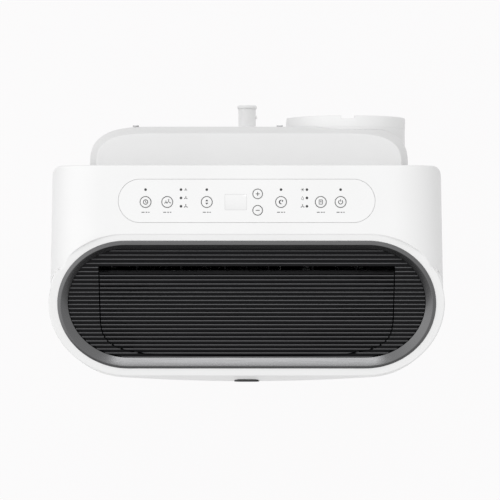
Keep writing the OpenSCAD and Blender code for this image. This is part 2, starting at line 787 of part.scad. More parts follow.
module at_feet() {
    for (x = [-1, 1], y = [-1, 1]) translate([comp_x + x * (comp_r - 4), comp_y + y * 50, 0]) children();
}

module compressor_feet() {
    foot = comp_foot;
    color("black") at_feet() union() {
        cylinder_from(10, base_z + wall, foot - 1.5);
        cylinder_from(5, base_z + wall, foot + 9);
        cylinder_from(8, foot + 2, foot + 9);
    }
}

// Finned coil: end plates, a finned block and return bends
module coil(x0, x1, y0, y1, z0, z1, bends) {
    color("silver") union() {
        for (x = [x0, x1 - 1.5]) block(x, x + 1.5, y0, y1, z0, z1);
        block(x0 + 1, x1 - 1, y0 + 2, y1 - 2, z0 + 3, z1 - 3);
    }
    pitch = (z1 - z0) / bends;
    color("peru") for (i = [0:bends - 1]) translate([x0, (y0 + y1) / 2, z0 + (i + 0.5) * pitch])
        rotate([90, 0, -90]) rotate([0, 0, -90])
            rotate_extrude(angle = 180) translate([pitch / 4, 0]) circle(3.5, $fn = 20);
}

module condenser_coil() { coil(-160, 160, low_y1 + 6, low_y1 + 40, base_z + wall + 30, 322, 8); }
module evaporator_coil() { coil(-164, 38, 28, 68, 372, 625, 8); }

// Blower casing: a drum with a chute that leaves it upwards, and its shell
module blower_form(x, z, r, y0, y1, x0, x1, top, d) {
    rod_y(x, z, r - d, y0 + d, y1 - d);
    block(x0 + d, x1 - d, y0 + d, y1 - d, z, top);
}

module lower_blower_case() {
    top = collar_z + collar_r + 6;
    color("gainsboro") difference() {
        blower_form(low_x, low_z, low_r, low_y0, low_y1, riser_x0, riser_x1, top, 0);
        blower_form(low_x, low_z, low_r, low_y0, low_y1, riser_x0, riser_x1, top - case_t, case_t);
        rod_y(low_x, low_z, low_r * 0.55, low_y1 - 5, low_y1 + 5);
        rod_y(low_x, low_z, 8, low_y0 - 5, low_y0 + 5);
        rod_y(collar_x, collar_z, collar_r - collar_t + 1, low_y1 - 5, low_y1 + 5);
    }
}

module upper_blower_case() {
    color("gainsboro") difference() {
        blower_form(up_x, up_z, up_r, up_y0, up_y1, up_x - up_r, up_x + up_r, duct_foot_z, 0);
        blower_form(up_x, up_z, up_r, up_y0, up_y1, up_x - up_r, up_x + up_r, duct_foot_z + 10, case_t);
        rod_y(up_x, up_z, up_r * 0.55, up_y1 - 5, up_y1 + 5);
        rod_y(up_x, up_z, 8, up_y0 - 5, up_y0 + 5);
    }
}

// Fan wheel: back plate, ring of blades, front ring, hub and the motor's shaft
module fan(x, z, r, y0, y1, shaft_y) {
    blades = 24;
    color("dimgray") union() {
        rod_y(x, z, r, y0, y0 + 2);
        difference() {
            rod_y(x, z, r, y1 - 3, y1);
            rod_y(x, z, r - 16, y1 - 4, y1 + 1);
        }
        rod_y(x, z, 14, y0, y0 + 25);
        rod_y(x, z, shaft_r, shaft_y, y0 + 1);
        for (i = [0:blades - 1]) translate([x, 0, z]) rotate([0, i * 360 / blades, 0])
            translate([r - 14, y0 + 1, -0.9]) rotate([0, 24, 0]) cube([12, y1 - y0 - 2, 1.8]);
    }
}

module lower_fan() { fan(low_x, low_z, low_r - 22, low_y0 + case_t + 6, low_y1 - case_t - 5, low_y0 - 40); }
module upper_fan() { fan(up_x, up_z, up_r - 16, up_y0 + case_t + 6, up_y1 - case_t - 5, up_y0 - 20); }

module motor(x, z, r, y0, y1) {
    color("silver") difference() {
        union() {
            rod_y(x, z, r, y0, y1 - 4);
            rod_y(x, z, r - 12, y1 - 5, y1);
        }
        rod_y(x, z, shaft_r + run_gap, y0 + 5, y1 + 1);
    }
}

module lower_motor() { motor(low_x, low_z, 42, low_y0 - 60, low_y0); }
module upper_motor() { motor(up_x, up_z, 38, up_y0 - 31, up_y0); }

// Pan that catches the evaporator's water and leads it to the drain spigot
module drip_pan() {
    x0 = -174;
    x1 = 40;
    y0 = 20;
    y1 = low_y1;
    z0 = spigot_z - spigot_r - 1.5;
    z1 = spigot_z + spigot_r + 3;
    color("white") difference() {
        block(x0, x1, y0, y1, z0, z1);
        block(x0 + 2, x1 - 2, y0 + 2, y1 - 2, z0 + 2, z1 + 1);
        rod_y(0, spigot_z, spigot_r - spigot_t, y1 - 5, y1 + 5);
    }
}

module electrics_box() {
    color("gainsboro") difference() {
        block(62, 196, -128, -68, 330, 560);
        block(64, 194, -126, -70, 332, 558);
    }
}

// Copper tube that leaves the compressor's top, bends and runs back to the condenser coil
module refrigerant_pipes() {
    foot = comp_top + 10;
    r = 4;
    bend = 18;
    color("peru") union() {
        translate([comp_x, comp_y + bend, foot]) rotate([90, 0, -90])
            rotate_extrude(angle = 90) translate([bend, 0]) circle(r, $fn = 24);
        rod_y(comp_x, foot + bend, r, comp_y + bend, low_y1 + 8);
    }
}

base_tray();
front_shell();
rear_cover();
top_housing();
vent_surround();
vent_ring();
flap();
control_panel();
display_window();
key("timer_key");  // timer_key
key("speed_key");  // speed_key
key("swing_key");  // swing_key
key("plus_key");  // plus_key
key("minus_key");  // minus_key
key("sleep_key");  // sleep_key
key("mode_key");  // mode_key
key("power_key");  // power_key
indicator_lights();
control_board();
receiver_lens();
exhaust_collar();
drain_spigot();
drain_plug();
upper_grille();
upper_filter();
lower_grille();
left_grip();
right_grip();
fork(caster_places[0]);  // fork_front_left
fork(caster_places[1]);  // fork_front_right
fork(caster_places[2]);  // fork_rear_left
fork(caster_places[3]);  // fork_rear_right
wheel(caster_places[0]);  // wheel_front_left
wheel(caster_places[1]);  // wheel_front_right
wheel(caster_places[2]);  // wheel_rear_left
wheel(caster_places[3]);  // wheel_rear_right
compressor();
compressor_feet();
condenser_coil();
evaporator_coil();
lower_blower_case();
lower_fan();
lower_motor();
upper_blower_case();
upper_fan();
upper_motor();
drip_pan();
outlet_duct();
vane(0);  // vane_1
vane(1);  // vane_2
vane(2);  // vane_3
vane(3);  // vane_4
vane(4);  // vane_5
vane(5);  // vane_6
vane_link();
flap_motor();
electrics_box();
refrigerant_pipes();
cover_screws();
cord_gland();
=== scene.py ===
"""Looks of a portable air conditioner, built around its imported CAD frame.

Every new piece is a surface worked out with numpy: rows of points along a path, or a
function of two parameters on a grid. Sizes are in metres.
"""

import json
import math

import bmesh
import bpy
import numpy as np
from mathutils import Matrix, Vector


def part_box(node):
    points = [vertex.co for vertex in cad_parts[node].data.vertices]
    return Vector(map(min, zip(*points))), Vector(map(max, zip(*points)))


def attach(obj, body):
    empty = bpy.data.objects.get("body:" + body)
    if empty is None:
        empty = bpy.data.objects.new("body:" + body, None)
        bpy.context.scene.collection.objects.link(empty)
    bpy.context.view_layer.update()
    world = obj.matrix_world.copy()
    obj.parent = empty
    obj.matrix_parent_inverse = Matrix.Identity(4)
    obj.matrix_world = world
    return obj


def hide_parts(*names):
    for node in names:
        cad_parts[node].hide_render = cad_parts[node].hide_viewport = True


bl_info = {
    "name": "Portable air conditioner",
    "version": (1, 0, 0),
    "blender": (4, 5, 0),
    "location": "View3D > Sidebar > Air conditioner",
    "description": "Builds the finished pieces of a portable air conditioner around its frame",
    "category": "Add Mesh",
}

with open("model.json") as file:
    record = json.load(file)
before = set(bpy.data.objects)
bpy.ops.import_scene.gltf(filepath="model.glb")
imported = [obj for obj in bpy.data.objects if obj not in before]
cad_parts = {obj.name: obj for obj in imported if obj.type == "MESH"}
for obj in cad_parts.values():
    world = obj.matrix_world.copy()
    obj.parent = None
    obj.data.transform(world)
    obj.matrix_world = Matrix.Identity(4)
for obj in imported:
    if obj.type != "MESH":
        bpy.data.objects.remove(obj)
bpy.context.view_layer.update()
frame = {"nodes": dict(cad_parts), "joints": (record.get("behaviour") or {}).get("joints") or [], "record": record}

MM = 0.001
# Place of the painted highlight on a rib's upper edge, within its pitch
RIB_HIGHLIGHT_PHASE = 0.80
# How far inside the outlet's own outline its upper crease lies
CREASE_IN = 3.0 * MM
# Wall of the rear cover where the housing's opening meets it
COVER_WALL = 3.0 * MM
JOINTS = {joint["name"]: joint for joint in frame["joints"]}


# ---------------------------------------------------------------- places from the frame

def low(node):
    """Lowest corner of a CAD node."""
    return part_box(node)[0]


def high(node):
    """Highest corner of a CAD node."""
    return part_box(node)[1]


def middle(node):
    """Centre of a CAD node's box."""
    return (low(node) + high(node)) / 2


VANE = JOINTS["vane_3_turn"]
TILT = math.atan2(VANE["axis"][2], VANE["axis"][1])
VANE_DEPTH = 34.0 * MM
OUTLET_Y = VANE["pos_m"][1] - VANE_DEPTH * math.sin(TILT)
OUTLET_Z = VANE["pos_m"][2] + VANE_DEPTH * math.cos(TILT)
TOP_Z = high("top_housing").z
SEAM_Z = low("top_housing").z
FRONT_Y = low("front_shell").y
WIDE_Y = high("front_shell").y
HALF_W = high("front_shell").x
REAR_Y = high("rear_cover").y
REAR_X = middle("rear_cover").x
REAR_HALF = high("rear_cover").x - REAR_X
REAR_TOP = high("rear_cover").z


def on_face(x, v, n):
    """Points of the outlet's tilted face: x across, v up its slope, n out of it."""
    x, v, n = np.broadcast_arrays(*(np.asarray(a, float) for a in (x, v, n)))
    y = OUTLET_Y + v * math.cos(TILT) - n * math.sin(TILT)
    z = OUTLET_Z + v * math.sin(TILT) + n * math.cos(TILT)
    return np.stack([x, y, z], -1)


# ---------------------------------------------------------------- sizes and colours

def length(name, description, default):
    """A size in metres for a property group."""
    return bpy.props.FloatProperty(
        name=name, description=description, default=default, min=0.0, unit="LENGTH", precision=4)


def colour(name, description, default):
    """A colour for a property group."""
    return bpy.props.FloatVectorProperty(
        name=name, description=description, default=default, size=3, min=0.0, max=1.0,
        subtype="COLOR")


class CasingSizes(bpy.types.PropertyGroup):
    """Sizes of the white casing."""

    shoulder_r: length("Shoulder radius", "Radius of the long rounded edges on top", 57 * MM)
    corner_r: length("Corner radius", "Radius of the front corners, seen from above", 85 * MM)
    bulge_r: length("Bulge radius", "Radius that the front face bulges with", 2.2)
    rim_r: length("Rim radius", "Radius of the small upright corners at the back", 12 * MM)
    edge_r: length("Edge radius", "Radius of the moulded edges", 2.0 * MM)
    side_taper: length("Side taper", "Narrowing of each side towards the back", 3 * MM)
    wall: length("Wall", "Thickness of the moulded walls", 2.6 * MM)
    chin_drop: length("Chin", "Height of the slope below the outlet", 28 * MM)
    rear_sweep: length("Rear sweep", "Reach of the rear cover's round corners", 76 * MM)
    rear_bevel: length("Rear bevel", "Width of the bevel on top of the rear cover", 9 * MM)
    rear_bevel_h: length("Rear bevel height", "Height of the rear cover's bevel", 26 * MM)


class OutletSizes(bpy.types.PropertyGroup):
    """Sizes of the air outlet."""

    face_r: length("Face radius", "Radius of the white face's round ends", 89 * MM)
    ring_r: length("Ring radius", "Outer radius of the trim ring's round ends", 79 * MM)
    ring_out: length("Outer slope", "Width of the ring's outer slope", 4 * MM)
    ring_in: length("Inner slope", "Width of the ring's inner slope", 7.7 * MM)
    ring_rise: length("Ring height", "Height of the ring's crest above the face", 2.5 * MM)
    rib_sink: length("Rib depth", "Depth of the ribs' crests under the face", 4.5 * MM)
    rib_pitch: length("Rib pitch", "Distance between two ribs", 5.05 * MM)
    rib_h: length("Rib height", "Height of a rib", 2.0 * MM)
    face_t: length("Face thickness", "Thickness of the ribbed face under its ribs", 3 * MM)
    flap_half: length("Flap half width", "Half the width of the flap", 166.5 * MM)
    flap_top: length("Flap top", "Upper edge of the flap, up the slope", 39 * MM)
    flap_low: length("Flap foot", "Lower edge of the flap, down the slope", 64.7 * MM)
    flap_gap: length("Flap gap", "Gap round the flap", 1.2 * MM)
    flap_slit: length("Flap slit", "Slit behind the flap", 6.5 * MM)
    flap_power: bpy.props.FloatProperty(
        name="Flap power", description="Power of the superellipse of the flap's foot", default=4.7)


class PrintSizes(bpy.types.PropertyGroup):
    """Sizes of the panel's printed marks."""

    thickness: length("Print thickness", "Height of a printed mark", 0.06 * MM)
    line: length("Line width", "Width of the lines of an icon", 0.85 * MM)
    ring_line: length("Ring line", "Width of the ring round a key", 0.6 * MM)
    label: length("Label length", "Length of the mark under a key", 9.0 * MM)


class Finishes(bpy.types.PropertyGroup):
    """Colours of the object's finishes."""

    white: colour("White casing", "Colour of the moulded casing", (0.89, 0.89, 0.89))
    panel: colour("Panel", "Colour of the key panel", (0.90, 0.90, 0.90))
    fitting: colour("Fittings", "Colour of the collar and the spigot", (0.86, 0.86, 0.86))
    black: colour("Black face", "Colour of the ribbed face", (0.006, 0.006, 0.007))
    silver: colour("Trim ring", "Colour of the trim ring", (0.165, 0.165, 0.168))
    ink: colour("Print", "Colour of the printed marks", (0.05, 0.05, 0.052))
    rubber: colour("Rubber", "Colour of the rubber pieces", (0.02, 0.02, 0.021))


def casing():
    return bpy.context.scene.ac_casing


def outlet():
    return bpy.context.scene.ac_outlet


def prints():
    return bpy.context.scene.ac_prints


def finishes():
    return bpy.context.scene.ac_finishes


# ---------------------------------------------------------------- mesh helpers

def quads(rows, cols, wrap_rows=False, wrap_cols=False, start=0):
    """Faces of a grid of points, as an array of four indices each."""
    i = np.arange(rows if wrap_rows else rows - 1)
    j = np.arange(cols if wrap_cols else cols - 1)
    i, j = np.meshgrid(i, j, indexing="ij")
    i, j = i.ravel(), j.ravel()
    i2, j2 = (i + 1) % rows, (j + 1) % cols
    return start + np.stack([i * cols + j, i * cols + j2, i2 * cols + j2, i2 * cols + j], 1)


def mesh_object(name, points, faces, weld=1e-6):
    """Makes a mesh object from points and quads, drops collapsed faces, merges doubles and
    turns every face outwards."""
    mesh = bpy.data.meshes.new(name)
    points = np.ascontiguousarray(points, np.float64).reshape(-1, 3)
    key = np.round(points / weld).astype(np.int64)
    first, index = np.unique(key, axis=0, return_index=True, return_inverse=True)[1:]
    points = points[first]
    faces = index.reshape(-1)[np.asarray(faces)]
    same = faces == np.roll(faces, -1, axis=1)
    full = faces[~same.any(1)]
    three = faces[same.sum(1) == 1]
    three = three[three != np.roll(three, -1, axis=1)].reshape(-1, 3)
    apart = (three != np.roll(three, -1, axis=1)).all(1)
    mesh.from_pydata(points.tolist(), [], full.tolist() + three[apart].tolist())
    mesh.validate()
    obj = bpy.data.objects.new(name, mesh)
    bpy.context.scene.collection.objects.link(obj)
    face_outwards(obj)
    return obj


def face_outwards(obj):
    """Recalculates the normals of a closed mesh."""
    work = bmesh.new()
    work.from_mesh(obj.data)
    bmesh.ops.recalc_face_normals(work, faces=work.faces)
    work.to_mesh(obj.data)
    work.free()


def grid_object(name, grid, wrap_rows=False, wrap_cols=False):
    """Makes a mesh object from a grid of points of shape (rows, columns, 3)."""
    rows, cols = grid.shape[:2]
    return mesh_object(name, grid, quads(rows, cols, wrap_rows, wrap_cols))


def grids_object(name, parts):
    """Makes one mesh object from several grids, given as (grid, wrap rows, wrap columns)."""
    points, faces, start = [], [], 0
    for grid, wrap_rows, wrap_cols in parts:
        rows, cols = grid.shape[:2]
        points.append(grid.reshape(-1, 3))
        faces.append(quads(rows, cols, wrap_rows, wrap_cols, start))
        start += rows * cols
    return mesh_object(name, np.concatenate(points), np.concatenate(faces))


def smooth(obj, angle=35.0):
    """Shades the mesh smooth, with edges sharper than the angle kept crisp."""
    obj.data.shade_smooth()
    obj.data.set_sharp_from_angle(angle=math.radians(angle))
    return obj


def finish_piece(obj, material, body="root", replaces=()):
    """Gives a piece its material and its place on a body."""
    obj.data.materials.clear()
    obj.data.materials.append(material)
    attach(obj, body)
    if replaces:
        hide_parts(*replaces)
    return obj


def keep_result(obj):
    """Replaces the mesh by the one that its modifiers give."""
    graph = bpy.context.evaluated_depsgraph_get()
    made = bpy.data.meshes.new_from_object(obj.evaluated_get(graph))
    old = obj.data
    obj.modifiers.clear()
    obj.data = made
    made.name = old.name
    bpy.data.meshes.remove(old)


def cut(obj, cutters):
    """Takes closed cutter meshes out of a closed mesh and deletes the cutters."""
    for cutter in cutters:
        modifier = obj.modifiers.new("cut", "BOOLEAN")
        modifier.operation = "DIFFERENCE"
        modifier.solver = "EXACT"
        modifier.object = cutter
    keep_result(obj)
    for cutter in cutters:
        bpy.data.objects.remove(cutter)
    return obj


def stadium(half, radius, arc=48, straight=24):
    """Closed outline of a straight strip with round ends, anticlockwise from the right
    end's foot: half is the distance from the middle to the ends' centres."""
    turn = np.linspace(-math.pi / 2, math.pi / 2, arc, endpoint=False)
    right = np.stack([half + radius * np.cos(turn), radius * np.sin(turn)], 1)
    run = np.linspace(half, -half, straight, endpoint=False)
    upper = np.stack([run, np.full_like(run, radius)], 1)
    return np.concatenate([right, upper, -right, -upper])


def stadium_normals(arc=48, straight=24):
    """Outward directions that belong to the points of stadium()."""
    turn = np.linspace(-math.pi / 2, math.pi / 2, arc, endpoint=False)
    right = np.stack([np.cos(turn), np.sin(turn)], 1)
    upper = np.stack([np.zeros(straight), np.ones(straight)], 1)
    return np.concatenate([right, upper, -right, -upper])


def prism(name, outline, place, low_end, high_end):
    """Closed prism: an outline of points (a, b) carried from low_end to high_end, where
    place(a, b, c) gives the point in space. Its ends are strips between its two sides."""
    count = len(outline)
    rows = []
    for level in (low_end, high_end):
        rows.append(place(outline[:, 0], outline[:, 1], np.full(count, level)))
    side = np.stack(rows)
    half = count // 2
    ends = []
    for row in side:
        ends.append(np.stack([row[:half], row[half:][::-1]]))
    return grids_object(name, [(side, False, True)] + [(e, False, False) for e in ends])


def revolve(profile, centre, turns=96, axis="Y", start=0.0):
    """Grid of a profile of (radius, along) turned fully about an axis through centre."""
    angle = start + np.linspace(0, 2 * math.pi, turns, endpoint=False)[:, None]
    radius, along = profile[:, 0][None], profile[:, 1][None]
    a, b = radius * np.cos(angle), radius * np.sin(angle)
    c = np.broadcast_to(along, a.shape)
    parts = {"Y": (a, c, b), "X": (c, a, b), "Z": (a, b, c)}[axis]
    return np.stack(parts, -1) + np.asarray(centre, float)


def rounded_profile(corners, radii, steps=5):
    """Closed outline through corners, each one rounded by an arc of its radius."""
    corners = np.asarray(corners, float)
    before = np.roll(corners, 1, 0) - corners
    after = np.roll(corners, -1, 0) - corners
    before_len = np.linalg.norm(before, axis=1)
    after_len = np.linalg.norm(after, axis=1)
    before /= before_len[:, None]
    after /= after_len[:, None]
    half = np.arccos(np.clip((before * after).sum(1), -1, 1)) / 2
    reach = np.minimum(np.asarray(radii) / np.tan(half), 0.45 * np.minimum(before_len, after_len))
    t = np.linspace(0, 1, steps)[None, :, None]
    p0 = (corners + before * reach[:, None])[:, None]
    p2 = (corners + after * reach[:, None])[:, None]
    p1 = corners[:, None]
    weight = np.sin(half)[:, None, None]
    bottom = (1 - t) ** 2 + 2 * weight * t * (1 - t) + t ** 2
    arc = ((1 - t) ** 2 * p0 + 2 * weight * t * (1 - t) * p1 + t ** 2 * p2) / bottom
    return arc.reshape(-1, 2)


def rounded_path(corners, radii, steps=5):
    """Open path through corners, each inner one rounded by an arc of its radius."""
    loop = rounded_profile(corners, radii, steps)
    middle_part = loop[steps:-steps]
    return np.concatenate([[corners[0]], middle_part, [corners[-1]]])


def stroke(path, width, place, level, rise, closed=False):
    """Flat printed strip along a path of points (a, b): half its width goes to either side,
    it lies at level and is rise thick. Its two open ends close on their own middle."""
    path = np.asarray(path, float)
    if closed:
        heading = np.roll(path, -1, 0) - np.roll(path, 1, 0)
    else:
        heading = np.gradient(path, axis=0)
    heading /= np.linalg.norm(heading, axis=1)[:, None]
    side = np.stack([-heading[:, 1], heading[:, 0]], 1) * np.broadcast_to(
        np.asarray(width, float) / 2, (len(path),))[:, None]
    left, right = path + side, path - side
    foot, top = np.full(len(path), level), np.full(len(path), level + rise)
    rows = np.stack([place(*left.T, foot), place(*left.T, top), place(*right.T, top),
                     place(*right.T, foot)], 1)
    if not closed:
        ends = [np.broadcast_to(rows[k].mean(0), (1, 4, 3)) for k in (0, -1)]
        rows = np.concatenate([ends[0], rows, ends[1]])
    return rows, closed, True


def arc(centre, radius, start, end, count=40):
    """Points of an arc in degrees, from start to end."""
    turn = np.radians(np.linspace(start, end, count))
    return np.stack([centre[0] + radius * np.cos(turn), centre[1] + radius * np.sin(turn)], 1)


def body_of(node):
    """Name of the body that carries a CAD node."""
    for name, nodes in frame["record"]["behaviour"]["bodies"].items():
        if node in nodes:
            return name
    raise ValueError("no body carries " + node)


def soften(node, width, segments=2, angle=35.0):
    """Lets a CAD node show rounded edges, by modifiers alone."""
    obj = frame["nodes"][node]
    weld = obj.modifiers.new("Weld", "WELD")
    weld.merge_threshold = 1e-6
    bevel = obj.modifiers.new("Edges", "BEVEL")
    bevel.width = width
    bevel.segments = segments
    bevel.limit_method = "ANGLE"
    bevel.angle_limit = math.radians(angle)
    bevel.harden_normals = True
    obj.data.shade_smooth()
    obj.data.set_sharp_from_angle(angle=math.radians(angle))
    return obj


# ---------------------------------------------------------------- materials

def node_material(name, base, roughness, metallic=0.0, coat=0.0, coat_roughness=0.1,
                  specular=0.5, sheen=0.0):
    """A Principled material whose constant values sit on its own sockets."""
    material = bpy.data.materials.new(name)
    material.use_nodes = True
    shader = material.node_tree.nodes["Principled BSDF"]
    shader.inputs["Base Color"].default_value = (*base, 1.0)
    shader.inputs["Roughness"].default_value = roughness
    shader.inputs["Metallic"].default_value = metallic
    shader.inputs["Coat Weight"].default_value = coat
    shader.inputs["Coat Roughness"].default_value = coat_roughness
    shader.inputs["Specular IOR Level"].default_value = specular
    shader.inputs["Sheen Weight"].default_value = sheen
    return material, shader


def add_noise(material, scale, detail=2.0, stretch=(1, 1, 1), name="Noise"):
    """A noise over Object coordinates, stretched per axis; returns its output."""
    nodes, links = material.node_tree.nodes, material.node_tree.links
    place = nodes.new("ShaderNodeTexCoord")
    mapping = nodes.new("ShaderNodeMapping")
    mapping.inputs["Scale"].default_value = stretch
    noise = nodes.new("ShaderNodeTexNoise")
    noise.label = name
    noise.inputs["Scale"].default_value = scale
    noise.inputs["Detail"].default_value = detail
    links.new(place.outputs["Object"], mapping.inputs["Vector"])
    links.new(mapping.outputs["Vector"], noise.inputs["Vector"])
    return noise.outputs["Fac"]


def ramp(material, value, low_value, high_value, start=0.3, end=0.7):
    """Maps a value from start..end to low_value..high_value."""
    node = material.node_tree.nodes.new("ShaderNodeMapRange")
    node.inputs["From Min"].default_value = start
    node.inputs["From Max"].default_value = end
    node.inputs["To Min"].default_value = low_value
    node.inputs["To Max"].default_value = high_value
    material.node_tree.links.new(value, node.inputs["Value"])
    return node.outputs["Result"]


def tint(material, value, dark, light):
    """Mixes two colours by a value and feeds the shader's base colour."""
    nodes, links = material.node_tree.nodes, material.node_tree.links
    mix = nodes.new("ShaderNodeMix")
    mix.data_type = "RGBA"
    mix.inputs["A"].default_value = (*dark, 1)
    mix.inputs["B"].default_value = (*light, 1)
    links.new(value, mix.inputs["Factor"])
    links.new(mix.outputs["Result"], nodes["Principled BSDF"].inputs["Base Color"])


def compute(tree, operation, *values):
    """A math node whose inputs are numbers or other outputs; returns its own output."""
    node = tree.nodes.new("ShaderNodeMath")
    node.operation = operation
    for socket, value in zip(node.inputs, values):
        if isinstance(value, (int, float)):
            socket.default_value = value
        else:
            tree.links.new(value, socket)
    return node.outputs["Value"]


def bump(material, value, strength, distance):
    """Feeds a height into the shader's normal."""
    nodes, links = material.node_tree.nodes, material.node_tree.links
    node = nodes.new("ShaderNodeBump")
    node.inputs["Strength"].default_value = strength
    node.inputs["Distance"].default_value = distance
    links.new(value, node.inputs["Height"])
    links.new(node.outputs["Normal"], nodes["Principled BSDF"].inputs["Normal"])


def roughness_from(material, value, low_value, high_value):
    """Lets the roughness wander between two values."""
    result = ramp(material, value, low_value, high_value)
    shader = material.node_tree.nodes["Principled BSDF"]
    material.node_tree.links.new(result, shader.inputs["Roughness"])


def shade(base, factor):
    """A colour made lighter or darker by a factor."""
    return tuple(min(1.0, c * factor) for c in base)


def moulded(name, base, roughness, grain=2400.0, grain_depth=0.012 * MM, wander=0.06, coat=0.0):
    """Moulded plastic: a fine spark-eroded grain, with slight wander in gloss and tone."""
    material = node_material(name, base, roughness, coat=coat)[0]
    tone = add_noise(material, 9.0, 3.0, name="Tone")
    tint(material, ramp(material, tone, 0.0, 1.0), shade(base, 0.985), shade(base, 1.01))
    gloss = add_noise(material, 26.0, 4.0, name="Gloss")
    roughness_from(material, gloss, roughness - wander / 2, roughness + wander / 2)
    bump(material, add_noise(material, grain, 2.0, name="Grain"), 0.35, grain_depth)
    return material


def brushed(name, base, roughness, stretch=(8, 300, 300), anisotropy=0.4):
    """Metal or plated plastic with a fine brushed line along X."""
    material, shader = node_material(name, base, roughness, metallic=1.0)
    shader.inputs["Anisotropic"].default_value = anisotropy
    lines = add_noise(material, 5.0, 3.0, stretch, name="Brush lines")
    roughness_from(material, lines, roughness - 0.05, roughness + 0.07)
    tint(material, ramp(material, lines, 0.0, 1.0), shade(base, 0.95), shade(base, 1.05))
    return material


MATERIALS = {}


def finish(name):
    """One of the object's finishes, made once."""
    if name not in MATERIALS:
        MATERIALS[name] = MAKERS[name]()
    return MATERIALS[name]


def make_white_case():
    return moulded("White casing", finishes().white, 0.42)


def make_shaded_white_cover():
    # Painted shade: the rear cover gets the casing white darkened by a tenth, for the shade it lies in below the
    # housing's step
    return moulded("White cover", shade(finishes().white, 0.9), 0.44)


def make_white_panel():
    return moulded("White panel", finishes().panel, 0.30, grain=3600, grain_depth=0.004 * MM)


def make_white_keys():
    return moulded("White keys", finishes().panel, 0.32, grain=3600, grain_depth=0.004 * MM)


def make_white_fittings():
    return moulded("White fittings", finishes().fitting, 0.45)


def make_white_grille():
    return moulded("White grille", finishes().white, 0.46)


def make_black_vent():
    """Black plastic with a painted highlight along each rib's upper edge: a narrow lighter pulse that
    comes back every rib pitch, measured up the outlet's slope, in place of the glint of the light behind."""
    base = finishes().black
    material = node_material("Black ribbed face", base, 0.36, specular=0.14)[0]
    tree = material.node_tree
    place = tree.nodes.new("ShaderNodeTexCoord")
    along = tree.nodes.new("ShaderNodeVectorMath")
    along.operation = "DOT_PRODUCT"
    along.inputs[1].default_value = (0.0, math.cos(TILT), math.sin(TILT))
    tree.links.new(place.outputs["Object"], along.inputs[0])
    pitch = outlet().rib_pitch
    shift = OUTLET_Y * math.cos(TILT) + OUTLET_Z * math.sin(TILT) + RIB_HIGHLIGHT_PHASE * pitch
    turns = compute(tree, "MULTIPLY_ADD", along.outputs["Value"], 1 / pitch,
                    1000.5 - shift / pitch)
    off = compute(tree, "SUBTRACT", compute(tree, "FRACT", turns), 0.5)
    # Painted highlight: a lighter grey strip on each rib's upper edge, standing in for the rear light's glint
    painted_highlight = ramp(material, compute(tree, "ABSOLUTE", off), 1.0, 0.0, 0.04, 0.085)
    tint(material, painted_highlight, base, (0.125, 0.125, 0.13))
    gloss = add_noise(material, 26.0, 4.0, name="Gloss")
    roughness_from(material, gloss, 0.32, 0.40)
    bump(material, add_noise(material, 1900.0, 2.0, name="Grain"), 0.3, 0.008 * MM)
    return material


def make_satin_ring():
    return brushed("Satin ring", finishes().silver, 0.24, stretch=(6, 420, 420))


def make_display():
    return moulded("Display window", shade(finishes().panel, 0.975), 0.16, grain=3600,
                   grain_depth=0.002 * MM)


def make_indicator():
    return moulded("Indicator lenses", finishes().ink, 0.2, grain=3600, grain_depth=0.002 * MM)


def printed(name, base, dark, light):
    """Matt print whose tone speckles between a darker and a lighter one."""
    material = node_material(name, base, 0.5)[0]
    speckle = add_noise(material, 1500.0, 2.0, name="Ink speckle")
    tint(material, ramp(material, speckle, 0, 1), dark, light)
    return material


def make_ink():
    ink = finishes().ink
    return printed("Printed ink", ink, shade(ink, 0.9), shade(ink, 1.12))


def make_pale_ink():
    return printed("Pale print", (0.22, 0.22, 0.225), (0.2, 0.2, 0.205), (0.25, 0.25, 0.255))


def make_faint_ink():
    return printed("Faint print", (0.7, 0.7, 0.7), (0.68, 0.68, 0.68), (0.74, 0.74, 0.74))


def make_receiver():
    return moulded("Receiver window", (0.004, 0.004, 0.005), 0.08, grain=3600,
                   grain_depth=0.001 * MM, coat=0.5)


def make_rubber():
    return moulded("Black rubber", finishes().rubber, 0.72, grain=1300, grain_depth=0.03 * MM)


def make_caster():
    return moulded("Caster nylon", (0.045, 0.045, 0.048), 0.5, grain=1600)


def make_wheel():
    return moulded("Wheel tread", (0.02, 0.02, 0.021), 0.6, grain=900, grain_depth=0.04 * MM)


def make_duct():
    return moulded("Duct plastic", (0.012, 0.012, 0.013), 0.6)


def make_vane():
    return moulded("Vane plastic", (0.02, 0.02, 0.021), 0.5)


def make_inner():
    return moulded("Inner plastic", (0.62, 0.62, 0.61), 0.55)


def make_fan():
    return moulded("Fan plastic", (0.08, 0.08, 0.085), 0.5)


def make_steel():
    return brushed("Plated steel", (0.56, 0.56, 0.57), 0.34)


def make_fins():
    """Aluminium with fine upright lines, as the edges of a coil's fins."""
    return brushed("Coil fins", (0.72, 0.73, 0.74), 0.38, stretch=(500, 3, 8))


def make_copper():
    return brushed("Copper tube", (0.78, 0.40, 0.24), 0.3)


def make_enamel():
    return moulded("Black enamel", (0.01, 0.01, 0.011), 0.25, grain=400, grain_depth=0.02 * MM)


def make_board():
    """Green lacquer over faint copper tracks."""
    base = (0.012, 0.10, 0.03)
    material = node_material("Circuit board", base, 0.35)[0]
    tracks = add_noise(material, 260.0, 1.0, (1, 4, 1), name="Tracks")
    tint(material, ramp(material, tracks, 0, 1, 0.48, 0.52), base, (0.02, 0.16, 0.05))
    return material


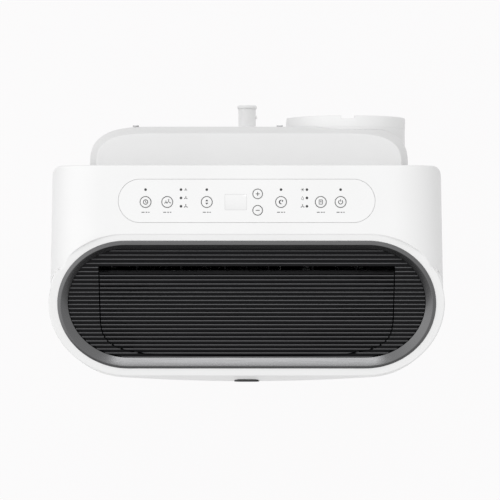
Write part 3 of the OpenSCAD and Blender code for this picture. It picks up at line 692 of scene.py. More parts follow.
def make_filter():
    """Fine square mesh of black nylon thread: two crossed waves."""
    base = (0.02, 0.02, 0.022)
    material = node_material("Filter mesh", base, 0.8, sheen=0.3)[0]
    nodes, links = material.node_tree.nodes, material.node_tree.links
    place = nodes.new("ShaderNodeTexCoord")
    heights = []
    for direction in ("X", "Z"):
        wave = nodes.new("ShaderNodeTexWave")
        wave.bands_direction = direction
        wave.inputs["Scale"].default_value = 250.0
        links.new(place.outputs["Object"], wave.inputs["Vector"])
        heights.append(wave.outputs["Fac"])
    thread = compute(material.node_tree, "MAXIMUM", *heights)
    bump(material, thread, 0.9, 0.3 * MM)
    tint(material, thread, (0.002, 0.002, 0.002), (0.06, 0.06, 0.063))
    return material


MAKERS = {
    "white_case": make_white_case, "white_panel": make_white_panel,
    "white_keys": make_white_keys, "white_cover": make_shaded_white_cover, "white_fittings": make_white_fittings,
    "white_grille": make_white_grille, "black_vent": make_black_vent,
    "satin_ring": make_satin_ring, "display_smoke": make_display,
    "indicator": make_indicator, "receiver_black": make_receiver,
    "black_rubber": make_rubber, "caster_grey": make_caster, "wheel_black": make_wheel,
    "duct_black": make_duct, "vane_black": make_vane, "inner_plastic": make_inner,
    "fan_grey": make_fan, "motor_steel": make_steel, "screw_steel": make_steel,
    "coil_fins": make_fins, "copper_tube": make_copper, "black_enamel": make_enamel,
    "circuit_board": make_board, "filter_mesh": make_filter, "ink": make_ink,
    "pale_ink": make_pale_ink, "faint_ink": make_faint_ink,
}

# Starts of the names of CAD nodes that are smoothed without softer edges
SMOOTHED = ("wheel_", "vane_", "lower_fan", "upper_fan", "control_p", "front_shell")

# Edge radius in millimetres of the CAD nodes that are shown as they are
EDGES = {
    "base_tray": 0.8, "upper_grille": 0.5, "lower_grille": 0.5,
    "left_grip": 0.8, "right_grip": 0.8, "receiver_lens": 0.3, "display_window": 0.1,
    "cord_gland": 0.5, "cover_screws": 0.4, "drain_plug": 0.5, "electrics_box": 1.0,
    "lower_blower_case": 0.6, "upper_blower_case": 0.6, "compressor_feet": 0.5,
    "indicator_lights": 0.15,
}


# ---------------------------------------------------------------- top housing

def side_half(y):
    """Half the casing's width at y: straight sides that narrow towards the back."""
    start = OUTLET_Y
    share = np.clip((y - start) / (WIDE_Y - start), 0, 1)
    return HALF_W - casing().side_taper * share


def housing_columns():
    """Places round the right half of the housing, from its rear middle to its front middle.
    Each has a direction on the outlet's face: a centre c (x) and an angle on its round end."""
    end = HALF_W - outlet().face_r
    upper = np.linspace(0, end, 18, endpoint=False)
    turn = np.linspace(math.pi / 2, -math.pi / 2, 112, endpoint=False)
    lower = np.linspace(end, 0, 19)
    centre = np.concatenate([upper, np.full(len(turn), end), lower])
    angle = np.concatenate([np.full(len(upper), math.pi / 2), turn,
                            np.full(len(lower), -math.pi / 2)])
    return centre, angle


def face_outline(centre, angle, radius):
    """Plan of the outlet's outline at a radius: an ellipse end on the tilted face."""
    x = centre + radius * np.cos(angle)
    y = OUTLET_Y + radius * np.sin(angle) * math.cos(TILT)
    return np.stack([x, y], 1)


def top_outline(centre, angle, inset):
    """Plan of the housing's upper edge that belongs to each column: the rear edge, the
    small rear corner, the side, and in front the outline of the outlet's own face."""
    c = casing()
    radius = outlet().face_r - inset
    own = face_outline(centre, angle, radius)
    end = HALF_W - outlet().face_r
    rim = c.rim_r - inset
    back = WIDE_Y - inset
    corner_x = side_half(WIDE_Y) - c.rim_r
    corner_y = WIDE_Y - c.rim_r
    reach = 0.83 * corner_x
    x, y = own[:, 0].copy(), own[:, 1].copy()
    straight = angle > math.pi / 2 - 1e-9
    x[straight] = centre[straight] * reach / end
    y[straight] = back
    split = math.radians(74)
    tip = math.radians(60)
    on_back = ~straight & (angle > split)
    share = (math.pi / 2 - angle[on_back]) / (math.pi / 2 - split)
    x[on_back] = reach + (corner_x - reach) * share
    y[on_back] = back
    on_rim = (angle <= split) & (angle > tip)
    turn = (angle[on_rim] - tip) / (split - tip) * math.pi / 2
    x[on_rim] = corner_x + rim * np.cos(turn)
    y[on_rim] = corner_y + rim * np.sin(turn)
    on_side = (angle <= tip) & (angle > 0)
    start_y = face_outline(np.array([end]), np.array([tip]), radius)[0, 1]
    y[on_side] = own[on_side, 1] + (corner_y - start_y) * (angle[on_side] / tip) ** 3
    x[on_side] = side_half(y[on_side]) - inset
    return np.stack([x, y], 1)


def seam_outline(centre, angle, inset):
    """Plan of the casing at the seam: as the upper edge behind, and in front the round
    corners and the bulge of the front face."""
    c = casing()
    plan = top_outline(centre, angle, inset)
    bulge_y = FRONT_Y + c.bulge_r
    inner = c.bulge_r - c.corner_r
    corner_x = HALF_W - c.corner_r
    corner_y = bulge_y - math.sqrt(inner ** 2 - corner_x ** 2)
    lean = math.asin(corner_x / inner)
    end = HALF_W - outlet().face_r
    on_corner = (angle <= 0) & (angle > -math.pi / 2 + 1e-9)
    turn = angle[on_corner] * (math.pi / 2 - lean) / (math.pi / 2)
    plan[on_corner, 0] = corner_x + (c.corner_r - inset) * np.cos(turn)
    plan[on_corner, 1] = corner_y + (c.corner_r - inset) * np.sin(turn)
    on_front = angle < -math.pi / 2 + 1e-9
    turn = centre[on_front] / end * lean
    plan[on_front, 0] = (c.bulge_r - inset) * np.sin(turn)
    plan[on_front, 1] = bulge_y - (c.bulge_r - inset) * np.cos(turn)
    return plan


def housing_height(x, y, inset):
    """Height of the housing at (x, y): the flat top with its long rounded shoulders, and
    inside the outlet's outline the tilted face; they blend over a narrow band."""
    c = casing()
    radius = c.shoulder_r - inset
    over = np.clip(np.abs(x) - (side_half(y) - c.shoulder_r), 0, radius)
    top = TOP_Z - c.shoulder_r + np.sqrt(radius ** 2 - over ** 2)
    face = OUTLET_Z + (y - OUTLET_Y) * math.tan(TILT) - inset / math.cos(TILT)
    end = HALF_W - outlet().face_r
    along = np.maximum(np.abs(x) - end, 0)
    up = (y - OUTLET_Y) / math.cos(TILT)
    reach = np.hypot(along, up)
    rise = np.clip(up / np.maximum(reach, 1 * MM), 0, 1)
    outside = reach - outlet().face_r - inset + CREASE_IN * rise
    share = np.clip(outside / (1.4 * MM), 0, 1)
    share = share * share * (3 - 2 * share)
    soft = 0.8 * MM
    lower = (face + top) / 2 - np.sqrt(((face - top) / 2) ** 2 + soft ** 2 / 4) + soft / 2
    inside = np.where(up > 0.5 * outlet().face_r, np.minimum(lower, face), face)
    return inside * (1 - share) + top * share


def housing_half(inset, hole_r, edge_r, fine):
    """Half of one skin of the housing, as rows from the outlet's hole to the seam: straight
    lines in plan from the hole over the outlet's crease to the upper edge, at the height of
    housing_height(), a quarter round, and a wall that eases out to the seam by a sine."""
    centre, angle = housing_columns()
    lean = np.clip(np.sin(angle), 0, 1)
    room = outlet().face_r - edge_r - 0.6 * MM
    far = np.where(angle > 0, np.minimum(outlet().face_r + 1.6 * MM - CREASE_IN * lean,
                                         room / np.maximum(np.cos(angle), 0.05)), room) - inset
    crease = face_outline(centre, angle, far - 4.4 * MM)
    beyond = face_outline(centre, angle, far)
    hole = face_outline(centre, angle, hole_r)
    edge = top_outline(centre, angle, inset)
    seam = seam_outline(centre, angle, inset)
    span = edge - beyond
    reach = np.linalg.norm(span, axis=1)
    heading = span / reach[:, None]
    flat = reach - edge_r
    rows = [hole + (crease - hole) * s for s in (0.0, 0.5)]
    ring_steps = (0.0, 0.35, 0.52, 0.60, 0.68, 0.76, 0.84, 0.92, 1.0)
    rows += [crease + (beyond - crease) * s for s in ring_steps[::fine]]
    share = np.sin(np.linspace(0, math.pi / 2, 20 // fine + 1))[1:]
    rows += [beyond + heading * (flat * s)[:, None] for s in share]
    drops = [np.zeros(len(centre))] * len(rows)
    turn = np.linspace(0, math.pi / 2, 8 // fine)[1:]
    for t in turn:
        rows.append(edge - heading * (edge_r * (1 - math.sin(t))))
        drops.append(np.full(len(centre), edge_r * (1 - math.cos(t))))
    plan = np.stack(rows)
    height = housing_height(plan[..., 0], plan[..., 1], inset) - np.stack(drops)
    upper = np.concatenate([plan, height[..., None]], -1)
    brink = upper[-1]
    chin_z = OUTLET_Z - outlet().face_r * math.sin(TILT) - casing().chin_drop
    down = np.linspace(0, 1, 13 // fine + 1)[1:, None]
    z = brink[None, :, 2] + (SEAM_Z - brink[None, :, 2]) * down
    share = np.clip((brink[None, :, 2] - z) / (brink[None, :, 2] - chin_z), 0, 1)
    share = np.where(share < 1, np.sin(share * math.pi / 2) ** 1.3, 1)
    wall_xy = edge[None] + (seam - edge)[None] * share[..., None]
    wall = np.concatenate([wall_xy, z[..., None]], -1)
    return np.concatenate([upper, wall])


def both_sides(half):
    """The right half and its mirror image as one closed row of columns."""
    other = half[:, -2:0:-1] * np.array([-1, 1, 1])
    return np.concatenate([half, other], 1)


def lip_rows(row, inner, drop):
    """A rounded foot between the outer and the inner skin, drop deep."""
    t = np.linspace(0, math.pi, 6)[:, None, None]
    share = (1 - np.cos(t)) / 2
    rows = row[None] + (inner - row)[None] * share
    rows[..., 2] -= drop * np.sin(t)[..., 0]
    return rows[1:-1]


def build_top_housing():
    """Top housing: outer skin, rounded foot and inner skin as one closed surface, cut for
    the panel's seat, the receiver window and the rear cover's opening."""
    c, o = casing(), outlet()
    outer = both_sides(housing_half(0.0, o.ring_r - 2.4 * MM, c.edge_r, 1))
    inner = both_sides(housing_half(c.wall, o.ring_r - 2.4 * MM, c.edge_r * 0.5, 2))
    foot = lip_rows(outer[-1], inner[-1], 0.0)
    grid = np.concatenate([outer, foot, inner[::-1]])
    housing = grid_object("top_housing_skin", grid, wrap_rows=True, wrap_cols=True)
    panel = middle("control_panel")
    half = (high("control_panel").x - low("control_panel").x) / 2
    radius = (high("control_panel").y - low("control_panel").y) / 2
    seat_z = high("control_panel").z - 2.0 * MM

    def flat(a, b, level):
        return np.stack([a + panel.x, b + panel.y, level], -1)

    seat = prism("seat", stadium(half - radius, radius + 0.35 * MM), flat, seat_z, TOP_Z + 0.01)
    well = prism("well", stadium(half - radius, radius - 3 * MM), flat, seat_z - 0.01, seat_z + MM)
    lens = middle("receiver_lens")
    lens_half = (high("receiver_lens").x - low("receiver_lens").x) / 2
    lens_r = (high("receiver_lens").z - low("receiver_lens").z) / 2

    def ahead(a, b, level):
        return np.stack([a + lens.x, level, b + lens.z], -1)

    window = prism("window", stadium(lens_half - lens_r, lens_r + 0.3 * MM), ahead,
                   FRONT_Y - 0.01, FRONT_Y + 0.02)
    door_foot, door_head = SEAM_Z - 20 * MM, REAR_TOP - COVER_WALL
    door_mid, door_half = (door_head + door_foot) / 2, (door_head - door_foot) / 2
    door = np.array([[-1, -1], [1, -1], [1, 1], [-1, 1]]) * [REAR_HALF - COVER_WALL, door_half]

    def behind(a, b, level):
        return np.stack([a + REAR_X, level, b + door_mid], -1)

    rear = prism("rear", door, behind, WIDE_Y - 0.012, WIDE_Y + 0.01)
    cut(housing, [seat, well, window, rear])
    smooth(housing, 32)
    return finish_piece(housing, finish("white_case"), replaces=["top_housing"])


# ---------------------------------------------------------------- outlet

def build_ring():
    """Trim ring: a rounded roof section of (radius, height) carried round the outlet's
    outline, so that each point is the outline's centre line plus radius times its normal."""
    o = outlet()
    crest = o.ring_r - o.ring_out
    core = crest - o.ring_in
    corners = [(o.ring_r, 0.0), (o.ring_r - 0.2 * MM, 0.5 * MM), (crest, o.ring_rise),
               (core, -o.rib_sink), (core, -o.rib_sink - 4 * MM),
               (o.ring_r - 3.3 * MM, -o.rib_sink - 4 * MM), (o.ring_r - 3.3 * MM, 0.0)]
    radii = [0.05 * MM, 0.3 * MM, 0.7 * MM, 0.5 * MM, 0.2 * MM, 0.2 * MM, 0.1 * MM]
    section = rounded_profile(corners, radii, 6)
    end = HALF_W - o.face_r
    base = stadium(end, 1.0, 80, 40)
    out = stadium_normals(80, 40)
    spine = base - out
    plan = spine[None] + out[None] * section[:, 0][:, None, None]
    height = np.broadcast_to(section[:, 1][:, None], plan.shape[:2])
    grid = on_face(plan[..., 0], plan[..., 1], height)
    ring = grid_object("vent_ring_trim", grid, wrap_rows=True, wrap_cols=True)
    smooth(ring, 40)
    return finish_piece(ring, finish("satin_ring"), replaces=["vent_ring"])


def rib_rows(low_v, high_v, per_rib=14):
    """Places v up the slope between two limits, at the same steps on every rib."""
    pitch = outlet().rib_pitch
    step = pitch / per_rib
    first = math.ceil(low_v / step + 1e-6)
    last = math.floor(high_v / step - 1e-6)
    inner = np.arange(first, last + 1) * step
    return np.concatenate([[low_v], inner, [high_v]])


def rib_height(v):
    """Surface of the ribs at v: narrow round crests over a flat floor."""
    o = outlet()
    phase = np.mod(v / o.rib_pitch - 0.61, 1.0)
    away = np.abs(phase - np.round(phase))
    crest = np.clip((0.36 - away) / 0.22, 0, 1)
    return -o.rib_sink - o.rib_h * (1 - crest * crest * (3 - 2 * crest))


def flap_half_width(v, grow=0.0):
    """Half the flap's width at v: straight above the middle, a superellipse below it."""
    o = outlet()
    share = np.clip(-v / (o.flap_low + grow), 0, 1)
    return (o.flap_half + grow) * (1 - share ** o.flap_power) ** (1 / o.flap_power)


def ribbed_plate(left, right, v, floor_n, edge_r, columns):
    """Ribbed plate between two limits in x at each v: its top follows the ribs, its edges
    are rounded by edge_r and its back is flat at floor_n."""
    t = np.linspace(0, math.pi / 2, 5)
    near = edge_r * (1 - np.cos(t))
    drop = edge_r * (1 - np.sin(t))
    width = right - left
    scale = np.minimum(1, width / (2.2 * edge_r))
    inner = np.linspace(0, 1, columns)[1:-1]
    across = [left + n * scale for n in near]
    across += [left + near[-1] * scale + (width - 2 * near[-1] * scale) * s for s in inner]
    across += [right - n * scale for n in near[::-1]]
    sink = np.concatenate([drop, np.zeros(len(inner)), drop[::-1]])
    x = np.stack(across, 1)
    rows = v[:, None] + np.zeros_like(x)
    top = rib_height(v)[:, None] - sink[None] * scale[:, None]
    upper = on_face(x, rows, np.maximum(top, floor_n + 0.2 * MM))
    lower = on_face(x, rows, np.full_like(x, floor_n))
    loop = np.concatenate([upper, lower[:, ::-1]], 1)
    first = np.stack([upper[0], lower[0]])
    last = np.stack([upper[-1], lower[-1]])
    return [(loop, False, True), (first, False, False), (last, False, False)]


def build_surround():
    """Ribbed face round the flap: four ribbed plates, above, beside and below it. Their outer
    edge follows the ring, half the width at v being end + sqrt(radius^2 - v^2)."""
    o = outlet()
    radius = o.ring_r - o.ring_out - o.ring_in - 0.3 * MM
    end = HALF_W - o.face_r
    floor_n = -o.rib_sink - o.rib_h - o.face_t
    slit_v = o.flap_top + o.flap_slit
    foot_v = -o.flap_low - o.flap_gap
    parts = []

    def reach(v):
        return end + np.sqrt(np.maximum(radius ** 2 - v ** 2, 0))

    v = rib_rows(slit_v, radius - 0.02 * MM)
    parts += ribbed_plate(-reach(v), reach(v), v, floor_n, 0.5 * MM, 40)
    v = rib_rows(foot_v, slit_v)
    hole = flap_half_width(v, o.flap_gap)
    parts += ribbed_plate(hole, reach(v), v, floor_n, 0.4 * MM, 16)
    parts += ribbed_plate(-reach(v), -hole, v, floor_n, 0.4 * MM, 16)
    v = rib_rows(-radius + 0.02 * MM, foot_v)
    parts += ribbed_plate(-reach(v), reach(v), v, floor_n, 0.3 * MM, 40)
    plate = grids_object("vent_face", parts)
    smooth(plate, 50)
    return finish_piece(plate, finish("black_vent"), replaces=["vent_surround"])


def build_flap():
    """Ribbed plate of the flap: straight sides above its middle, a superellipse below. It
    lies over the CAD flap, which stays as its back, with the ears and the hinge pins."""
    o = outlet()
    floor_n = -o.rib_sink - o.rib_h - o.face_t
    v = rib_rows(-o.flap_low + 0.01 * MM, o.flap_top)
    half = flap_half_width(v)
    parts = ribbed_plate(-half, half, v, floor_n, 0.5 * MM, 60)
    flap = grids_object("flap_plate", parts)
    smooth(flap, 50)
    return finish_piece(flap, finish("black_vent"), body="flap")


def build_flap_roll():
    """Rounded bead along the flap's rear edge: a circle carried along x, whose radius
    shrinks to nothing by a sine at each end."""
    o = outlet()
    radius = 1.5 * MM
    turn = np.linspace(0, 2 * math.pi, 20, endpoint=False)
    mid_v, mid_n = o.flap_top - radius, -o.rib_sink - radius + 0.1 * MM
    v = mid_v + radius * np.cos(turn)
    n = mid_n + radius * np.sin(turn)
    tip = np.linspace(0, math.pi / 2, 5)
    end = o.flap_half - radius * (1 - np.sin(tip))
    x = np.concatenate([-end, end[::-1]])
    shrink = np.sin(np.concatenate([tip, tip[::-1]]))
    v = mid_v + (v[None] - mid_v) * shrink[:, None]
    n = mid_n + (n[None] - mid_n) * shrink[:, None]
    grid = on_face(x[:, None], v, n)
    roll = grid_object("flap_roll", grid, wrap_cols=True)
    smooth(roll, 60)
    return finish_piece(roll, finish("black_vent"), body="flap")


# ---------------------------------------------------------------- rear cover

def collar_cutter():
    """Closed round bar in place of the exhaust collar, a little wider than it."""
    centre = middle("exhaust_collar")
    radius = (high("exhaust_collar").x - low("exhaust_collar").x) / 2 + 0.3 * MM
    return round_cutter(centre.x, centre.z, radius, 0.05, 0.16)


def round_cutter(x, z, radius, y0, y1):
    """Closed round bar along Y."""
    turn = np.linspace(0, 2 * math.pi, 96, endpoint=False)
    outline = np.stack([radius * np.cos(turn), radius * np.sin(turn)], 1)

    def place(a, b, level):
        return np.stack([a + x, level, b + z], -1)

    return prism("bar", outline, place, y0, y1)


def box_cutter(x0, x1, y0, y1, z0, z1):
    """Closed box as a prism along Y."""
    outline = np.array([[x0, z0], [x1, z0], [x1, z1], [x0, z1]])

    def place(a, b, level):
        return np.stack([a, level, b], -1)

    return prism("box", outline, place, y0, y1)


def rear_plan(inset, turns=44):
    """Plan of the rear cover from its right end to its left one: straight side, corner of a
    superellipse of power 3, and the straight back."""
    c = casing()
    reach, depth = c.rear_sweep - inset, REAR_Y - low("rear_cover").y - inset
    turn = np.linspace(0, math.pi / 2, turns)
    radius = (np.cos(turn) ** 3 + np.sin(turn) ** 3) ** (-1 / 3)
    x = REAR_HALF - c.rear_sweep + reach * np.cos(turn) * radius
    y = low("rear_cover").y + depth * np.sin(turn) * radius
    run = np.linspace(x[-1], 0, 24)[1:]
    right = np.concatenate([np.stack([x, y], 1), np.stack([run, np.full(len(run), y[-1])], 1)])
    left = right[::-1] * np.array([-1, 1])
    return np.concatenate([right, left[1:]]) + np.array([REAR_X, 0])


def rear_skin(corners, radii, rim_inset):
    """One skin of the rear cover: the plan at each step of a rounded section of (inset,
    height), then straight rows across the flat top to the cover's front edge."""
    section = rounded_path(corners, radii, 6)
    levels = np.linspace(section[0, 1], section[1, 1], 28)[:-1]
    upright = np.stack([np.full(len(levels), section[0, 0]), levels], 1)
    section = np.concatenate([upright, section[1:]])
    rows = []
    for inset, z in section:
        plan = rear_plan(min(inset, rim_inset))
        rows.append(np.concatenate([plan, np.full((len(plan), 1), z)], 1))
    rim = rows[-1]
    share = np.linspace(0, 1, len(rim))
    front = np.stack([rim[0, 0] + (rim[-1, 0] - rim[0, 0]) * share,
                      np.full(len(rim), low("rear_cover").y), rim[:, 2]], 1)
    rows += [rim + (front - rim) * s for s in np.linspace(0, 1, 6)[1:]]
    return np.stack(rows)


def build_rear_cover():
    """Rear cover: its plan carried upwards, over a bevel with rounded edges and across the
    flat top, as an outer and an inner skin closed round their edges; its openings are cut."""
    c = casing()
    foot = low("rear_cover").z
    wide, tall, wall = c.rear_bevel, c.rear_bevel_h, c.wall
    slope = math.hypot(wide, tall)
    knee = REAR_TOP - tall + wall * (tall / wide - slope / wide)
    turn = wide + wall * (slope - wide) / tall
    outer = rear_skin([(0.0, foot), (0.0, REAR_TOP - tall), (wide, REAR_TOP),
                       (wide + 6 * MM, REAR_TOP)], [0, 2.2 * MM, 1.6 * MM, 0], wide + 2 * MM)
    inner = rear_skin([(wall, foot), (wall, knee), (turn, REAR_TOP - wall),
                       (turn + 6 * MM, REAR_TOP - wall)], [0, MM, 0.5 * MM, 0], turn + 2 * MM)
    parts = [(np.concatenate([outer, inner[::-1]]), True, False)]
    parts += [(np.stack([outer[:, k], inner[:, k]]), False, False) for k in (0, -1)]
    cover = grids_object("rear_cover_skin", parts)
    holes = [collar_cutter()]
    spigot = middle("drain_spigot")
    holes.append(round_cutter(spigot.x, spigot.z, 11.3 * MM, 0.1, 0.15))
    gland = middle("cord_gland")
    holes.append(round_cutter(gland.x, gland.z, 7.3 * MM, 0.1, 0.15))
    for node in ("upper_grille", "lower_grille"):
        a, b, gap = low(node), high(node), 0.3 * MM
        holes.append(box_cutter(a.x - gap, b.x + gap, 0.11, 0.14, a.z - gap, b.z + gap))
    cut(cover, holes)
    smooth(cover, 32)
    return finish_piece(cover, finish("white_cover"), replaces=["rear_cover"])


# ---------------------------------------------------------------- fittings

def build_collar():
    """Exhaust collar: a tube's closed section turned about its axis; where a notch is, the
    section's rim steps back."""
    centre = middle("exhaust_collar")
    rim = high("exhaust_collar").y
    outer = (high("exhaust_collar").x - low("exhaust_collar").x) / 2
    inner = outer - 4 * MM
    back = low("exhaust_collar").y
    half_notch = 8 * MM / outer
    quarter = np.concatenate([np.linspace(-half_notch, half_notch, 9),
                              np.linspace(half_notch, math.pi / 2 - half_notch, 41)])
    depth = np.concatenate([np.full(9, 3.5 * MM), np.zeros(41)])
    angle = np.concatenate([quarter + k * math.pi / 2 for k in range(4)])[:, None]
    notch = np.tile(depth, 4)[:, None]
    r = 1.0 * MM
    corners = [(inner, back), (outer - 0.3 * MM, back), (outer - 0.3 * MM, REAR_Y - 0.5 * MM),
               (outer, REAR_Y - 0.2 * MM), (outer, rim), (inner, rim)]
    section = rounded_profile(corners, [0.3 * MM, 0.3 * MM, 0.1 * MM, 0.1 * MM, r, r * 0.8], 5)
    radius, along = section[:, 0][None], section[:, 1][None]
    moved = np.where(along > rim - 2 * MM, along - notch, along + np.zeros_like(notch))
    x = centre.x + radius * np.cos(angle)
    z = centre.z + radius * np.sin(angle)
    grid = np.stack([x, moved, z + np.zeros_like(moved)], -1)
    collar = grid_object("exhaust_collar_ring", grid, wrap_rows=True, wrap_cols=True)
    smooth(collar, 40)
    return finish_piece(collar, finish("white_fittings"),
                        replaces=["exhaust_collar"])


def build_spigot():
    """Drain spigot: flange, tube and rounded end bead as one closed section turned about
    its axis, and a small lug with rounded edges."""
    centre = middle("drain_spigot")
    tip = high("drain_spigot").y
    bore, tube, bead = 8 * MM, 11 * MM, 12.5 * MM
    flange = REAR_Y - 5.3 * MM
    corners = [(bore, low("drain_spigot").y), (tube, low("drain_spigot").y), (tube, flange),
               (15 * MM, flange), (15 * MM, flange + 2 * MM), (tube, flange + 2 * MM),
               (tube, tip - 5.2 * MM), (bead, tip - 3.8 * MM), (bead, tip - 1.3 * MM),
               (tube, tip), (bore, tip)]
    radii = np.array([0.2, 0.2, 0.2, 0.4, 0.4, 0.3, 0.8, 1.2, 1.2, 0.5, 0.6]) * MM
    section = rounded_profile(corners, radii, 5)
    body = revolve(section, (centre.x, 0, centre.z), 72)
    lug = rounded_profile([(-2, -17), (2, -17), (2, -13), (-2, -13)], [0.8] * 4, 4) * MM
    levels = np.array([tube - 1 * MM, tube + 1.2 * MM, tube + 1.6 * MM, tube + 1.6 * MM])
    scale = np.array([1.0, 1.0, 0.8, 0.0])
    mid = lug.mean(0)
    ring = mid + (lug - mid) * scale[:, None, None]
    x = centre.x + levels[:, None] + np.zeros(ring.shape[:2])
    block = np.stack([x, tip + ring[..., 1], centre.z + ring[..., 0]], -1)
    block = np.concatenate([np.broadcast_to(block[0].mean(0), (1,) + block.shape[1:]), block])
    spigot = grids_object("drain_spigot_tube", [(body, True, True), (block, False, True)])
    smooth(spigot, 40)
    return finish_piece(spigot, finish("white_fittings"),
                        replaces=["drain_spigot"])


# ---------------------------------------------------------------- panel prints

def fan_icon(centre, size):
    """Three curved blades round a hub, as open loops."""
    paths = []
    for start in (90, 210, 330):
        turn = np.linspace(0, 2 * math.pi, 25)
        along = size * (0.58 + 0.40 * np.cos(turn))
        across = size * 0.26 * np.sin(turn) * (0.55 + 0.45 * np.cos(turn))
        a = math.radians(start)
        x = centre[0] + along * math.cos(a) - across * math.sin(a)
        y = centre[1] + along * math.sin(a) + across * math.cos(a)
        paths.append((np.stack([x, y], 1)[:-1], 0.4 * MM, True))
    paths.append((arc(centre, size * 0.10, 0, 360, 13)[:-1], 0.3 * MM, True))
    return paths


def wedge(tip, foot, width):
    """Filled triangle as a strip that widens from its tip to its foot."""
    t = np.linspace(0, 1, 6)[:, None]
    path = np.array(tip) + (np.array(foot) - np.array(tip)) * t
    return path, np.maximum(width * t[:, 0], 0.02 * MM), False


def line(*points):
    """Straight strokes through points, with steps between them."""
    points = np.asarray(points, float)
    steps = [points[:1]]
    for a, b in zip(points[:-1], points[1:]):
        steps.append(a + (b - a) * np.linspace(0, 1, 5)[1:, None])
    return np.concatenate(steps)


def key_marks(name):
    """Paths of the mark on a key, in metres round its centre: path, width, closed."""
    w = prints().line
    m = MM
    if name == "timer_key":
        return [(arc((0, 0), 2.5 * m, 0, 360, 49)[:-1], w, True),
                (line((0, 1.6 * m), (0, 0), (1.2 * m, -0.7 * m)), w * 0.9, False)]
    if name == "speed_key":
        return fan_icon((-1.5 * m, -0.4 * m), 2.0 * m) + fan_icon((1.5 * m, 0.3 * m), 2.9 * m)
    if name == "swing_key":
        return [wedge((0, 3.0 * m), (0, 0.8 * m), 3.4 * m),
                wedge((0, -3.0 * m), (0, -0.8 * m), 3.4 * m)]
    if name == "plus_key":
        return [(line((-2.2 * m, 0), (2.2 * m, 0)), w, False),
                (line((0, w / 2), (0, 2.2 * m)), w, False),
                (line((0, -w / 2), (0, -2.2 * m)), w, False)]
    if name == "minus_key":
        return [(line((-2.2 * m, 0), (2.2 * m, 0)), w, False)]
    if name == "sleep_key":
        path = arc((0.3 * m, 0), 2.1 * m, 60, 300, 33)
        width = 1.5 * m * np.sin(np.linspace(0, math.pi, 33)) + 0.04 * m
        return [(path, width, False),
                (line((1.0 * m, 2.0 * m), (2.3 * m, 2.0 * m), (1.0 * m, 0.6 * m),
                      (2.3 * m, 0.6 * m)), w * 0.7, False)]
    if name == "mode_key":
        page = rounded_profile([(-1.9 * m, -2.4 * m), (1.9 * m, -2.4 * m), (1.9 * m, 2.4 * m),
                                (-1.9 * m, 2.4 * m)], [0.5 * m] * 4, 5)
        return [(page, w * 0.85, True),
                (line((-0.9 * m, 1.0 * m), (0.9 * m, 1.0 * m)), w * 0.7, False),
                (line((-0.9 * m, 0), (0.9 * m, 0)), w * 0.7, False)]
    return [(arc((0, 0), 2.3 * m, 125, 415, 49), w, False),
            (line((0, 0.5 * m), (0, 3.0 * m)), w, False)]


KEYS = ("timer_key", "speed_key", "swing_key", "plus_key", "minus_key", "sleep_key",
        "mode_key", "power_key")


def build_key_prints():
    """The ring and the mark on every key: flat strips, half a width to either side of lines
    and arcs."""
    rise = prints().thickness
    for name in KEYS:
        mid = middle(name)
        level = high(name).z - 0.01 * MM
        big = name not in ("plus_key", "minus_key")
        radius = (6.4 if big else 5.7) * MM

        def place(a, b, z):
            return np.stack([a + mid.x, b + mid.y, z], -1)

        ring = prints().ring_line
        paths = [(arc((0, 0), radius - 0.12 * MM - ring / 2, 0, 360, 97)[:-1], ring, True)]
        paths += key_marks(name)
        parts = [stroke(path, width, place, level, rise, closed) for path, width, closed in paths]
        mark = grids_object(name + "_print", parts)
        finish_piece(mark, finish("ink"), body=body_of(name))


def build_panel_prints():
    """Marks printed on the panel: a dash under each key and the lamps' small signs."""
    rise = prints().thickness
    panel = middle("control_panel")
    level = high("control_panel").z - 0.01 * MM

    def place(a, b, z):
        return np.stack([a + panel.x, b + panel.y, z], -1)

    half = prints().label / 2
    dark, pale = [], []
    for name in KEYS:
        if name in ("plus_key", "minus_key"):
            continue
        mid = middle(name)
        x = mid.x - panel.x
        y = mid.y - panel.y - 11.5 * MM
        for a, b in ((-half, -0.25 * half), (0.0, 0.45 * half), (0.65 * half, half)):
            pale.append((line((x + a, y), (x + b, y)), 1.1 * MM, False))
    m = MM
    for y, size in ((12.6, 1.5), (3.3, 1.9), (-6.1, 2.3)):
        dark += fan_icon((-68.2 * m, y * m), size * m)
    for turn in (0, 60, 120):
        a = math.radians(turn)
        d = np.array([math.cos(a), math.sin(a)]) * 2.0 * m
        dark.append((line((62.6 * m - d[0], 12.6 * m - d[1]), (62.6 * m + d[0], 12.6 * m + d[1])),
                     0.4 * m, False))
    t = np.linspace(0, 2 * math.pi, 25)[:-1]
    drop = np.stack([62.6 * m + 1.3 * m * np.sin(t) * (0.75 - 0.45 * np.cos(t)),
                     3.0 * m + 1.9 * m * np.cos(t)], 1)
    dark.append((drop, 0.4 * m, True))
    dark += fan_icon((62.6 * m, -6.1 * m), 2.2 * m)
    parts = [stroke(path, width, place, level, rise, closed) for path, width, closed in dark]
    finish_piece(grids_object("lamp_signs", parts), finish("ink"))
    parts = [stroke(path, width, place, level, rise, closed) for path, width, closed in pale]
    finish_piece(grids_object("key_labels", parts), finish("pale_ink"))
    screen = middle("display_window")
    w, h = 12.2 * m, 8.75 * m
    frame_line = rounded_profile([(-w, -h), (w, -h), (w, h), (-w, h)], [1.0 * m] * 4, 5)

    def at_screen(a, b, z):
        return np.stack([a + screen.x, b + screen.y, z], -1)

    part = stroke(frame_line, 0.5 * m, at_screen, high("display_window").z - 0.01 * m, rise, True)
    finish_piece(grids_object("display_line", [part]), finish("faint_ink"))


# ---------------------------------------------------------------- stage

